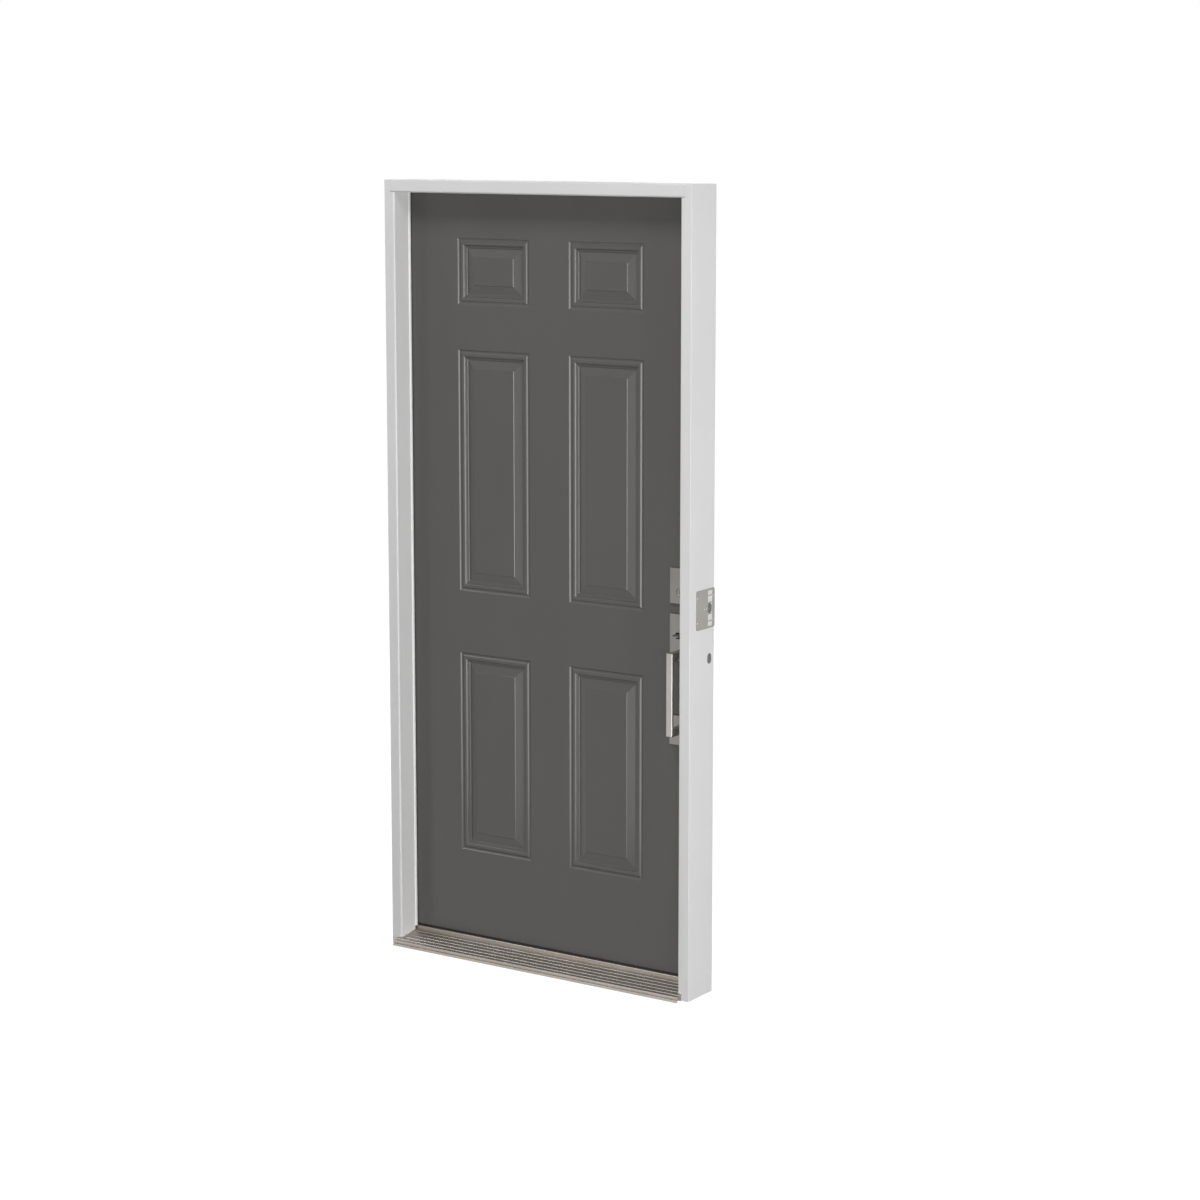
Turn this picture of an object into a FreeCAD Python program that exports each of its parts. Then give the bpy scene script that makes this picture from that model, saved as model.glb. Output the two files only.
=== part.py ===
import FreeCAD, Part
import math
import os
from FreeCAD import Vector

# A pre-hung steel entry door: an embossed six-panel leaf in a rabbeted jamb set on a ribbed metal sill.
# Millimetres. X runs across the doorway, Y into the building, Z up.
# The origin is under the sill, at mid width, in the plane of the jambs' outdoor edges.

# Jamb set
FRAME_WIDTH = 952.5
FRAME_HEIGHT = 2070.1
JAMB_DEPTH = 115.9
JAMB_THICKNESS = 19.05
STOP_THICKNESS = 12.7
STOP_DEPTH = 60.3
STOP_NOSE_RADIUS = 4.5
KERF_WIDTH = 3.2
KERF_DEPTH = 11.0
KERF_SETBACK = 1.2
EASED_EDGE = 1.2
HEAD_JOINT_PLAY = 0.3

# Weatherstrip in the kerf
STRIP_FIN_PLAY = 0.3
STRIP_BULB_DEPTH = 10.2
STRIP_BULB_REACH = 2.6
STRIP_END_PLAY = 0.3

# Sill
SILL_NOSE_REACH = 23.3
SILL_NOSE_TOP = 15.4
SILL_SLOPE_DEGREES = 8.2
SILL_DECK_BACK = 66.8
DECK_WALL = 1.8
NOSE_LIP = 2.9
NOSE_FOOT_HEIGHT = 6.6
NOSE_RECESS = 4.0
SILL_BASE_FRONT = -2.0
RIB_PITCH = 15.95
RIB_GROOVES = 5
RIB_GROOVE_WIDTH = 5.4
RIB_GROOVE_DEPTH = 0.9
FIRST_GROOVE_FROM_NOSE = 10.8
CAP_RISE = 9.1
CAP_DEPTH = 45.0
CAP_EDGE_RADIUS = 2.0

# Door leaf
DOOR_THICKNESS = 44.45
DOOR_SIDE_GAP = 5.0
DOOR_TOP_GAP = 5.0
DOOR_FLOOR_GAP = 6.6
LOCK_EDGE_BEVEL = 2.3
SKIN = 0.6
SKIN_RETURN = 7.0
STILE_WIDTH = 36.0
TOP_RAIL_HEIGHT = 36.0
BOTTOM_RAIL_HEIGHT = 44.0

# Embossed panels, from the centre line out and from the leaf's foot up
CENTRE_STILE = 124.0
PANEL_WIDTH = 229.7
PANEL_FOOT = 229.9
LOWER_PANEL_HEIGHT = 542.8
LOCK_RAIL = 166.8
MIDDLE_PANEL_HEIGHT = 644.1
FRIEZE_RAIL = 118.1
UPPER_PANEL_HEIGHT = 174.6

# Embossed moulding, widths across it and depths below the face
QUIRK_WALL = 3.5
QUIRK_FLOOR = 3.5
QUIRK_DEPTH = 3.4
BEAD_RISE = 4.0
BEAD_CROWN = 2.0
BEAD_DEPTH = 0.5
OVOLO_WIDTH = 8.0
OVOLO_DEPTH = 6.0
FILLET_WIDTH = 4.5
STEP_WIDTH = 1.0
VALLEY_WIDTH = 2.5
VALLEY_DEPTH = 8.0
BEVEL_WIDTH = 21.5
BEVEL_TOP_DEPTH = 1.4
FIELD_EDGE = 1.0

# Sweep under the leaf
SWEEP_INSET = 3.0
SWEEP_BASE = 2.2
SWEEP_FIN = 1.6
SWEEP_FINS = 4
SWEEP_PLAY = 0.8

# Hinges
HINGE_HEIGHT = 101.6
HINGE_LEAF_WIDTH = 41.0
HINGE_LEAF_THICKNESS = 2.5
HINGE_CORNER_RADIUS = 15.9
BARREL_RADIUS = 6.25
BARREL_STANDOFF = 0.3
KNUCKLES = 5
KNUCKLE_GAP = 0.3
PIN_RADIUS = 3.0
PIN_RUNNING_CLEARANCE = 0.05
PIN_HEAD_RADIUS = 5.2
PIN_HEAD_HEIGHT = 3.5
TOP_HINGE_DROP = 229.0
BOTTOM_HINGE_RISE = 305.0

# Lock positions, from the leaf's lock edge and from the floor
LOCK_BACKSET = 46.4
DEADBOLT_HEIGHT = 1044.5
LOCK_CENTRES = 129.5
CROSS_BORE_RADIUS = 27.0
EDGE_BORE_RADIUS = 12.7
CASE_PLAY = 0.3

# Outdoor plates and grip
PLATE_WIDTH = 60.5
PLATE_THICKNESS = 6.4
PLATE_EDGE_RADIUS = 1.0
DEADBOLT_PLATE_BELOW = 29.6
DEADBOLT_PLATE_HEIGHT = 91.4
UPPER_PLATE_BELOW = 46.0
UPPER_PLATE_HEIGHT = 119.4
LOWER_PLATE_BELOW = 265.5
LOWER_PLATE_HEIGHT = 76.5
GRIP_WIDTH = 18.7
GRIP_STANDOFF = 56.4
GRIP_BAR = 8.5
GRIP_ARM = 20.0
GRIP_TOP_BELOW_LATCH = 19.8
GRIP_LENGTH = 215.9
GRIP_CORNER_RADIUS = 3.0
GRIP_EDGE_RADIUS = 2.2

# Key cylinder
CYLINDER_RADIUS = 10.7
CYLINDER_PROUD = 1.6
CYLINDER_LENGTH = 26.0
CYLINDER_RIM = 1.8
CYLINDER_DISH = 0.8
CYLINDER_PLAY = 0.2
CYLINDER_GROOVE = 1.1
CYLINDER_GROOVE_DEPTH = 2.0
KEYWAY_WIDTH = 1.8
KEYWAY_HEIGHT = 9.0
KEYWAY_DEPTH = 12.0

# Thumb piece and the pin it rocks on
THUMB_WIDTH = 20.6
THUMB_REACH = 24.0
THUMB_THICKNESS = 3.4
THUMB_DROP = 2.6
THUMB_TAIL = 12.0
THUMB_TAIL_WIDTH = 8.0
THUMB_ABOVE_LATCH = 22.5
THUMB_SIDE_PLAY = 1.6
THUMB_SLOT_ABOVE = 3.0
THUMB_SLOT_BELOW = 10.0
THUMB_PIN_RADIUS = 2.0
THUMB_PIN_BEHIND_PLATE = 4.0
THUMB_BOSS_RADIUS = 4.0
LUG_THICKNESS = 2.0

# Bolts, faceplates and strikes
FACEPLATE_WIDTH = 25.4
FACEPLATE_HEIGHT = 57.2
FACEPLATE_THICKNESS = 2.4
FACEPLATE_CORNER_RADIUS = 6.3
DEADBOLT_WIDTH = 14.0
DEADBOLT_DEPTH = 18.0
LATCH_WIDTH = 11.0
LATCH_DEPTH = 16.0
BOLT_PLAY = 0.3
BOLT_CASE_LENGTH = 24.0
STRIKE_WIDTH = 28.6
STRIKE_THICKNESS = 1.8
DEADBOLT_STRIKE_HEIGHT = 69.8
LATCH_STRIKE_HEIGHT = 57.2
STRIKE_HOLE_PLAY = 2.0
STRIKE_POCKET_RADIUS = 11.0
STRIKE_POCKET_DEPTH = 13.0
STRIKE_LIP_HEIGHT = 32.0
STRIKE_LIP_REACH = 3.6
STRIKE_LIP_TURN = 6.5
STRIKE_LIP_CURL = 3.0

# Indoor rose, turn and lever
ROSE_RADIUS = 32.5
ROSE_THICKNESS = 9.0
ROSE_EDGE_RADIUS = 3.0
TURN_NECK_RADIUS = 6.0
TURN_NECK_LENGTH = 7.0
TURN_LENGTH = 42.0
TURN_THICKNESS = 9.0
TURN_PROJECTION = 16.0
LEVER_NECK_RADIUS = 9.5
LEVER_PROJECTION = 44.0
LEVER_LENGTH = 118.0
LEVER_BAR = 10.0
LEVER_HEIGHT = 19.0
LEVER_TIP_DIP = 8.0

# Bolt pockets and plate on the outside of the strike jamb
SECURITY_PLATE_THICKNESS = 1.5
SECURITY_PLATE_DEPTH = 87.0
SECURITY_PLATE_HEIGHT = 101.0
SECURITY_PLATE_FRONT = 29.0
SECURITY_PLATE_MIDDLE_HEIGHT = 1007.5
SECURITY_PLATE_CORNER_RADIUS = 6.0
SECURITY_SCREW_RADIUS = 3.2
SECURITY_SCREW_SPACING_DEPTH = 74.2
SECURITY_SCREW_SPACING_HEIGHT = 63.2
SECURITY_PIN_HOLE_RADIUS = 3.0
SECURITY_PIN_HOLE_OFFSET = -2.0
SECURITY_LATCH_HOLE_OFFSET = 7.0
WINDOW_WIDTH = 22.6
WINDOW_OFFSET = 22.5
WINDOW_CORNER_RADIUS = 1.5
MIDDLE_WINDOW_HEIGHT = 27.0
INNER_WINDOW_HEIGHT = 15.5
OUTER_WINDOW_HEIGHT = 11.6
WINDOW_BAR = 2.4
POCKET_DEPTH = 12.0
LATCH_POCKET_WIDTH = 21.0
LATCH_POCKET_HEIGHT = 27.0
LATCH_POCKET_BELOW_PLATE = 129.5

# Places that follow from the sizes above
HALF_WIDTH = FRAME_WIDTH / 2
RABBET_X = HALF_WIDTH - JAMB_THICKNESS
STOP_X = RABBET_X - STOP_THICKNESS
HEAD_RABBET_Z = FRAME_HEIGHT - JAMB_THICKNESS
HEAD_STOP_Z = HEAD_RABBET_Z - STOP_THICKNESS
SILL_RISE_PER_MM = math.tan(math.radians(SILL_SLOPE_DEGREES))
DECK_TOP_BACK = SILL_NOSE_TOP + SILL_RISE_PER_MM * (SILL_DECK_BACK + SILL_NOSE_REACH)
CAP_SEAT = DECK_TOP_BACK - DECK_WALL
CAP_TOP = DECK_TOP_BACK + CAP_RISE
FACE_Y = JAMB_DEPTH - DOOR_THICKNESS
BACK_Y = JAMB_DEPTH
MIDDLE_Y = (FACE_Y + BACK_Y) / 2
HINGE_EDGE_X = -RABBET_X + DOOR_SIDE_GAP
LOCK_EDGE_X = RABBET_X - DOOR_SIDE_GAP
LEAF_FOOT = CAP_TOP + DOOR_FLOOR_GAP
LEAF_TOP = HEAD_RABBET_Z - DOOR_TOP_GAP
EDGE_TILT_DEGREES = math.degrees(math.atan(LOCK_EDGE_BEVEL / DOOR_THICKNESS))
MIDDLE_LOCK_EDGE_X = LOCK_EDGE_X - LOCK_EDGE_BEVEL / 2
AXIS_X = -RABBET_X + DOOR_SIDE_GAP / 2
AXIS_Y = JAMB_DEPTH + BARREL_RADIUS + BARREL_STANDOFF
HINGE_NAMES = ("bottom", "middle", "top")
LOW_HINGE_Z = LEAF_FOOT + BOTTOM_HINGE_RISE
HIGH_HINGE_Z = LEAF_TOP - TOP_HINGE_DROP
HINGE_HEIGHTS = (LOW_HINGE_Z, (LOW_HINGE_Z + HIGH_HINGE_Z) / 2, HIGH_HINGE_Z)
LOCK_X = LOCK_EDGE_X - LOCK_BACKSET
LATCH_HEIGHT = DEADBOLT_HEIGHT - LOCK_CENTRES
PLATE_FRONT_Y = FACE_Y - PLATE_THICKNESS
GRIP_FRONT_Y = FACE_Y - GRIP_STANDOFF
GRIP_TOP = LATCH_HEIGHT - GRIP_TOP_BELOW_LATCH
GRIP_FOOT = GRIP_TOP - GRIP_LENGTH
THUMB_PIN_Y = FACE_Y + THUMB_PIN_BEHIND_PLATE
THUMB_TOP_Z = LATCH_HEIGHT + THUMB_ABOVE_LATCH
THUMB_PIN_Z = THUMB_TOP_Z - THUMB_BOSS_RADIUS
SECURITY_MIDDLE_Y = SECURITY_PLATE_FRONT + SECURITY_PLATE_DEPTH / 2
WINDOW_Y = SECURITY_MIDDLE_Y + WINDOW_OFFSET


# Building blocks
def box(x0, x1, y0, y1, z0, z1):
    return Part.makeBox(x1 - x0, y1 - y0, z1 - z0, Vector(x0, y0, z0))


def plan_at(z):
    return lambda x, y: Vector(x, y, z)


def side_at(x):
    return lambda y, z: Vector(x, y, z)


def corner_arc(before, corner, after, radius):
    """The start, middle and end of the arc that rounds a corner, as flat points."""
    back = (before[0] - corner[0], before[1] - corner[1])
    ahead = (after[0] - corner[0], after[1] - corner[1])
    back_length = math.hypot(*back)
    ahead_length = math.hypot(*ahead)
    back = (back[0] / back_length, back[1] / back_length)
    ahead = (ahead[0] / ahead_length, ahead[1] / ahead_length)
    half_angle = math.acos(max(-1.0, min(1.0, back[0] * ahead[0] + back[1] * ahead[1]))) / 2
    reach = radius / math.tan(half_angle)
    bisector = (back[0] + ahead[0], back[1] + ahead[1])
    bisector_length = math.hypot(*bisector)
    depth = (radius / math.sin(half_angle) - radius) / bisector_length
    start = (corner[0] + back[0] * reach, corner[1] + back[1] * reach)
    middle = (corner[0] + bisector[0] * depth, corner[1] + bisector[1] * depth)
    end = (corner[0] + ahead[0] * reach, corner[1] + ahead[1] * reach)
    return start, middle, end


def outline(corners, place):
    """A closed wire through flat corners. A corner's third value, where given, is its radius."""
    stretches = []
    count = len(corners)
    for i, corner in enumerate(corners):
        radius = corner[2] if len(corner) > 2 else 0
        if radius:
            stretches.append(corner_arc(corners[i - 1], corner, corners[(i + 1) % count], radius))
        else:
            stretches.append((corner[:2],))
    edges = []
    for i, stretch in enumerate(stretches):
        following = stretches[(i + 1) % count]
        if len(stretch) == 3:
            edges.append(Part.Arc(*[place(*point) for point in stretch]).toShape())
        start = place(*stretch[-1])
        end = place(*following[0])
        if start.distanceToPoint(end) > 1e-6:
            edges.append(Part.LineSegment(start, end).toShape())
    return Part.Wire(edges)


def prism(corners, place, direction):
    return Part.Face(outline(corners, place)).extrude(direction)


def rounded_rectangle(middle, width, height, radius):
    left = middle[0] - width / 2
    right = middle[0] + width / 2
    low = middle[1] - height / 2
    high = middle[1] + height / 2
    return [(left, low, radius), (right, low, radius), (right, high, radius), (left, high, radius)]


def turned(half_profile, base, axis):
    """A solid of revolution. The profile's points are distance along the axis and radius."""
    normal = Vector(0, 0, 1) if abs(axis.z) < 0.5 else Vector(1, 0, 0)
    points = [base + axis * along + normal * radius for along, radius in half_profile]
    wire = Part.makePolygon(points + [points[0]])
    return Part.Face(wire).revolve(base, axis, 360)


def cylinder(base, axis, radius, length):
    return Part.makeCylinder(radius, length, base, axis)


def cut_all(shape, tools):
    for tool in tools:
        shape = shape.cut(tool)
    return shape


# Jamb set
def jamb_corners():
    """The rabbeted jamb's section: inward from its outer face, and back from its outdoor edge."""
    stop_face = JAMB_THICKNESS + STOP_THICKNESS
    kerf_near = JAMB_THICKNESS + KERF_SETBACK
    kerf_far = kerf_near + KERF_WIDTH
    return [
        (0, 0, EASED_EDGE),
        (stop_face, 0, STOP_NOSE_RADIUS),
        (stop_face, STOP_DEPTH),
        (kerf_far, STOP_DEPTH),
        (kerf_far, STOP_DEPTH - KERF_DEPTH),
        (kerf_near, STOP_DEPTH - KERF_DEPTH),
        (kerf_near, STOP_DEPTH),
        (JAMB_THICKNESS, STOP_DEPTH),
        (JAMB_THICKNESS, JAMB_DEPTH, EASED_EDGE),
        (0, JAMB_DEPTH, EASED_EDGE),
    ]


def deck_top(y):
    return SILL_NOSE_TOP + SILL_RISE_PER_MM * (y + SILL_NOSE_REACH)


def side_jamb(side):
    """A leg from the floor to the top. Its stop stands on the sloped sill and ends under the head's stop."""
    place = lambda inward, y: Vector(side * (HALF_WIDTH - inward), y, 0)
    leg = prism(jamb_corners(), place, Vector(0, 0, FRAME_HEIGHT))
    low_x = min(side * RABBET_X, side * (STOP_X - 1))
    leg = leg.cut(box(low_x, low_x + STOP_THICKNESS + 1, -1, JAMB_DEPTH, HEAD_STOP_Z, FRAME_HEIGHT + 1))
    under_stop = [
        (-1, -1),
        (STOP_DEPTH + 1, -1),
        (STOP_DEPTH + 1, deck_top(STOP_DEPTH + 1)),
        (-1, deck_top(-1)),
    ]
    start_x = RABBET_X if side > 0 else -RABBET_X
    foot = prism(under_stop, side_at(start_x), Vector(-side * (STOP_THICKNESS + 1), 0, 0))
    return leg.cut(foot)


def head_jamb():
    half = RABBET_X - HEAD_JOINT_PLAY
    place = lambda inward, y: Vector(-half, y, FRAME_HEIGHT - inward)
    return prism(jamb_corners(), place, Vector(2 * half, 0, 0))


def weatherstrip_corners():
    """A barbed fin in the kerf and a soft bulb on the stop's shoulder."""
    near = JAMB_THICKNESS + KERF_SETBACK + STRIP_FIN_PLAY
    far = near + KERF_WIDTH - 2 * STRIP_FIN_PLAY
    bulb_far = JAMB_THICKNESS + STOP_THICKNESS + STRIP_BULB_REACH
    bulb_near = JAMB_THICKNESS + STRIP_FIN_PLAY
    back = STOP_DEPTH + STRIP_BULB_DEPTH
    return [
        (near, STOP_DEPTH - KERF_DEPTH + STRIP_FIN_PLAY),
        (far, STOP_DEPTH - KERF_DEPTH + STRIP_FIN_PLAY),
        (far, STOP_DEPTH),
        (bulb_far, STOP_DEPTH, STRIP_BULB_DEPTH * 0.3),
        (bulb_far, back, STRIP_BULB_DEPTH * 0.45),
        (bulb_near, back, STRIP_BULB_DEPTH * 0.1),
        (bulb_near, STOP_DEPTH),
        (near, STOP_DEPTH),
    ]


def side_weatherstrip(side):
    foot = CAP_TOP + STRIP_END_PLAY
    place = lambda inward, y: Vector(side * (HALF_WIDTH - inward), y, foot)
    strip = prism(weatherstrip_corners(), place, Vector(0, 0, HEAD_RABBET_Z - STRIP_END_PLAY - foot))
    low_x = min(side * STOP_X, side * HALF_WIDTH)
    above = HEAD_STOP_Z - STRIP_END_PLAY
    fin_top = box(low_x, low_x + JAMB_THICKNESS + STOP_THICKNESS, 0, STOP_DEPTH, above, FRAME_HEIGHT)
    return strip.cut(fin_top)


def head_weatherstrip():
    half = STOP_X - STRIP_BULB_REACH - STRIP_END_PLAY
    place = lambda inward, y: Vector(-half, y, FRAME_HEIGHT - inward)
    return prism(weatherstrip_corners(), place, Vector(2 * half, 0, 0))


# Sill
def sill_deck():
    """The ribbed extrusion: a hollow nose with a shadow recess, then a sloped deck with grooves along it."""
    nose = -SILL_NOSE_REACH
    recess = nose + NOSE_RECESS
    inside = recess + DECK_WALL
    corners = [(nose, SILL_NOSE_TOP - NOSE_LIP), (nose, SILL_NOSE_TOP, NOSE_LIP / 3)]
    for i in range(RIB_GROOVES):
        middle = nose + FIRST_GROOVE_FROM_NOSE + i * RIB_PITCH
        shoulder = RIB_GROOVE_WIDTH / 2
        floor = RIB_GROOVE_WIDTH / 4
        corners.append((middle - shoulder, deck_top(middle - shoulder)))
        corners.append((middle - floor, deck_top(middle - floor) - RIB_GROOVE_DEPTH))
        corners.append((middle + floor, deck_top(middle + floor) - RIB_GROOVE_DEPTH))
        corners.append((middle + shoulder, deck_top(middle + shoulder)))
    corners += [
        (SILL_DECK_BACK, DECK_TOP_BACK),
        (SILL_DECK_BACK, CAP_SEAT),
        (inside, deck_top(inside) - DECK_WALL),
        (inside, NOSE_FOOT_HEIGHT - DECK_WALL),
        (nose + DECK_WALL, NOSE_FOOT_HEIGHT - DECK_WALL),
        (nose + DECK_WALL, 0),
        (nose, 0),
        (nose, NOSE_FOOT_HEIGHT, NOSE_FOOT_HEIGHT / 6),
        (recess, NOSE_FOOT_HEIGHT),
        (recess, SILL_NOSE_TOP - NOSE_LIP),
    ]
    return prism(corners, side_at(-RABBET_X), Vector(2 * RABBET_X, 0, 0))


def sill_base():
    """The solid base that carries the deck and the cap. It starts behind the open nose."""
    corners = [
        (SILL_BASE_FRONT, 0),
        (SILL_BASE_FRONT, deck_top(SILL_BASE_FRONT) - DECK_WALL),
        (SILL_DECK_BACK, CAP_SEAT),
        (JAMB_DEPTH, CAP_SEAT),
        (JAMB_DEPTH, 0),
    ]
    return prism(corners, side_at(-RABBET_X), Vector(2 * RABBET_X, 0, 0))


def sill_cap():
    """The raised cap that the leaf closes over."""
    back = SILL_DECK_BACK + CAP_DEPTH
    corners = [
        (SILL_DECK_BACK, CAP_SEAT),
        (SILL_DECK_BACK, CAP_TOP, CAP_EDGE_RADIUS),
        (back, CAP_TOP, CAP_EDGE_RADIUS),
        (back, CAP_SEAT),
    ]
    return prism(corners, side_at(-RABBET_X), Vector(2 * RABBET_X, 0, 0))


# Door leaf
def leaf_plan(inset):
    """The leaf's plan: square at the hinge edge and bevelled at the lock edge."""
    return [
        (HINGE_EDGE_X + inset, FACE_Y + inset),
        (LOCK_EDGE_X - LOCK_EDGE_BEVEL - inset, FACE_Y + inset),
        (LOCK_EDGE_X - inset, BACK_Y - inset),
        (HINGE_EDGE_X + inset, BACK_Y - inset),
    ]


def leaf_block(inset):
    return prism(leaf_plan(inset), plan_at(LEAF_FOOT), Vector(0, 0, LEAF_TOP - LEAF_FOOT))


def moulding_corners(lift):
    """Half a pressed moulding: inward from the panel's edge, and down from the sheet's face."""
    at = 0
    profile = [(at, -lift), (at, 0)]
    at += QUIRK_WALL
    profile.append((at, QUIRK_DEPTH * 0.88))
    at += QUIRK_FLOOR
    profile.append((at, QUIRK_DEPTH))
    at += BEAD_RISE
    profile.append((at, BEAD_DEPTH))
    at += BEAD_CROWN
    profile.append((at, BEAD_DEPTH))
    profile.append((at + OVOLO_WIDTH * 0.75, BEAD_DEPTH, OVOLO_WIDTH * 0.6))
    at += OVOLO_WIDTH
    profile.append((at, OVOLO_DEPTH))
    at += FILLET_WIDTH
    profile.append((at, OVOLO_DEPTH))
    at += STEP_WIDTH
    profile.append((at, VALLEY_DEPTH))
    at += VALLEY_WIDTH
    profile.append((at, VALLEY_DEPTH))
    at += BEVEL_WIDTH
    profile.append((at, BEVEL_TOP_DEPTH))
    at += FIELD_EDGE
    profile.append((at, 0))
    profile.append((at, -lift))
    return profile


def panel_press(width, height, face_y, inward):
    """The ring that a panel's moulding takes out of a sheet, with mitred corners."""
    route = Part.makePolygon([
        Vector(0, face_y, 0),
        Vector(width / 2, face_y, 0),
        Vector(width / 2, face_y, height),
        Vector(-width / 2, face_y, height),
        Vector(-width / 2, face_y, 0),
        Vector(0, face_y, 0),
    ])
    lift = SKIN * 2
    place = lambda across, depth: Vector(0, face_y + inward * depth, across)
    section = outline(moulding_corners(lift), place)
    mitred_corners = 1
    return route.makePipeShell([section], True, False, mitred_corners)


def panel_presses(face_y, inward):
    """All six panels' rings on one face: two columns of three."""
    rows = []
    foot = LEAF_FOOT + PANEL_FOOT
    for height, rail in (
        (LOWER_PANEL_HEIGHT, LOCK_RAIL),
        (MIDDLE_PANEL_HEIGHT, FRIEZE_RAIL),
        (UPPER_PANEL_HEIGHT, 0),
    ):
        rows.append((foot, height))
        foot += height + rail
    presses = []
    column = (CENTRE_STILE + PANEL_WIDTH) / 2
    for foot, height in rows:
        press = panel_press(PANEL_WIDTH, height, face_y, inward)
        for side in (-1, 1):
            presses.append(press.translated(Vector(side * column, 0, foot)))
    return presses


def cross_bores():
    """The two round holes through the leaf for the lock and the latch."""
    reach = DOOR_THICKNESS + 2
    return [
        cylinder(Vector(LOCK_X, FACE_Y - 1, height), Vector(0, 1, 0), CROSS_BORE_RADIUS, reach)
        for height in (DEADBOLT_HEIGHT, LATCH_HEIGHT)
    ]


def skin_sheet(face_y, inward):
    """A pressed steel sheet with its returns round the leaf's two edges."""
    shell = leaf_block(0).cut(leaf_block(SKIN))
    near = min(face_y, face_y + inward * SKIN_RETURN)
    far = max(face_y, face_y + inward * SKIN_RETURN)
    sheet = shell.common(box(-HALF_WIDTH, HALF_WIDTH, near, far, LEAF_FOOT, LEAF_TOP))
    sheet = sheet.multiFuse(panel_presses(face_y + inward * SKIN, inward))
    trimming = box(-HALF_WIDTH, HALF_WIDTH, FACE_Y, BACK_Y, LEAF_FOOT, LEAF_TOP)
    sheet = sheet.common(trimming)
    sheet = cut_all(sheet, panel_presses(face_y, inward))
    return cut_all(sheet, cross_bores()).removeSplitter()


def stile(at_lock_edge):
    """An edge stile between the skins, with the lock or hinge cut-outs in it."""
    inner = leaf_block(SKIN)
    if at_lock_edge:
        part = inner.common(box(LOCK_EDGE_X - STILE_WIDTH, HALF_WIDTH, 0, BACK_Y, 0, FRAME_HEIGHT))
        part = cut_all(part, cross_bores())
        part = part.cut(edge_bore(DEADBOLT_HEIGHT)).cut(edge_bore(LATCH_HEIGHT))
        return part.cut(faceplate_mortise(DEADBOLT_HEIGHT)).cut(faceplate_mortise(LATCH_HEIGHT))
    return inner.common(box(-HALF_WIDTH, HINGE_EDGE_X + STILE_WIDTH, 0, BACK_Y, 0, FRAME_HEIGHT))


def rail(z0, z1):
    inner = leaf_block(SKIN)
    left = HINGE_EDGE_X + STILE_WIDTH
    right = LOCK_EDGE_X - STILE_WIDTH
    return inner.common(box(left, right, 0, BACK_Y, z0, z1))


def foam_core():
    """The foam that fills the leaf between the stiles, the rails and the pressed skins."""
    left = HINGE_EDGE_X + STILE_WIDTH
    right = LOCK_EDGE_X - STILE_WIDTH
    front = FACE_Y + SKIN
    back = BACK_Y - SKIN
    core = box(left, right, front, back, LEAF_FOOT + BOTTOM_RAIL_HEIGHT, LEAF_TOP - TOP_RAIL_HEIGHT)
    core = cut_all(core, panel_presses(front, 1) + panel_presses(back, -1))
    return cut_all(core, cross_bores() + [edge_bore(DEADBOLT_HEIGHT), edge_bore(LATCH_HEIGHT)])


def door_sweep():
    """The vinyl sweep under the leaf, with fins that hang just clear of the cap."""
    front = FACE_Y + SWEEP_INSET
    back = BACK_Y - SWEEP_INSET
    fin_foot = CAP_TOP + SWEEP_PLAY
    base_foot = LEAF_FOOT - SWEEP_BASE
    pitch = (back - front - SWEEP_FIN) / (SWEEP_FINS - 1)
    corners = [(front, LEAF_FOOT)]
    for i in range(SWEEP_FINS):
        fin = front + i * pitch
        if i > 0:
            corners.append((fin, base_foot))
        corners.append((fin, fin_foot))
        corners.append((fin + SWEEP_FIN, fin_foot))
        if i < SWEEP_FINS - 1:
            corners.append((fin + SWEEP_FIN, base_foot))
    corners.append((back, LEAF_FOOT))
    start = HINGE_EDGE_X + SWEEP_INSET
    end = LOCK_EDGE_X - LOCK_EDGE_BEVEL - SWEEP_INSET
    return prism(corners, side_at(start), Vector(end - start, 0, 0))


# Hinges
def hinge_leaf_plate(height, jamb_side):
    """A leaf's flat plate, let in flush, with rounded corners away from the barrel."""
    far = AXIS_Y - HINGE_LEAF_WIDTH
    low = height - HINGE_HEIGHT / 2
    high = height + HINGE_HEIGHT / 2
    corners = [
        (far, low, HINGE_CORNER_RADIUS),
        (AXIS_Y, low),
        (AXIS_Y, high),
        (far, high, HINGE_CORNER_RADIUS),
    ]
    start = -RABBET_X - HINGE_LEAF_THICKNESS if jamb_side else HINGE_EDGE_X
    return prism(corners, side_at(start), Vector(HINGE_LEAF_THICKNESS, 0, 0))


def knuckle_span(index, height):
    pitch = HINGE_HEIGHT / KNUCKLES
    low = height - HINGE_HEIGHT / 2 + index * pitch
    top_gap = KNUCKLE_GAP if index < KNUCKLES - 1 else 0
    return low, low + pitch - top_gap


def hinge_leaf(height, jamb_side):
    """A leaf with its own knuckles round the pin, notched clear of the other leaf's."""
    leaf = hinge_leaf_plate(height, jamb_side)
    notch_front = AXIS_Y - BARREL_RADIUS - BARREL_STANDOFF
    own = 0 if jamb_side else 1
    for index in range(KNUCKLES):
        low, high = knuckle_span(index, height)
        if index % 2 == own:
            leaf = leaf.fuse(cylinder(Vector(AXIS_X, AXIS_Y, low), Vector(0, 0, 1), BARREL_RADIUS, high - low))
            leaf = leaf.cut(box(-HALF_WIDTH, 0, notch_front, AXIS_Y + 1, high, high + KNUCKLE_GAP))
        else:
            leaf = leaf.cut(box(-HALF_WIDTH, 0, notch_front, AXIS_Y + 1, low, high + KNUCKLE_GAP))
    bore_radius = PIN_RADIUS + PIN_RUNNING_CLEARANCE
    low = height - HINGE_HEIGHT / 2 - 1
    bore = cylinder(Vector(AXIS_X, AXIS_Y, low), Vector(0, 0, 1), bore_radius, HINGE_HEIGHT + 2)
    return leaf.cut(bore).removeSplitter()


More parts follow.
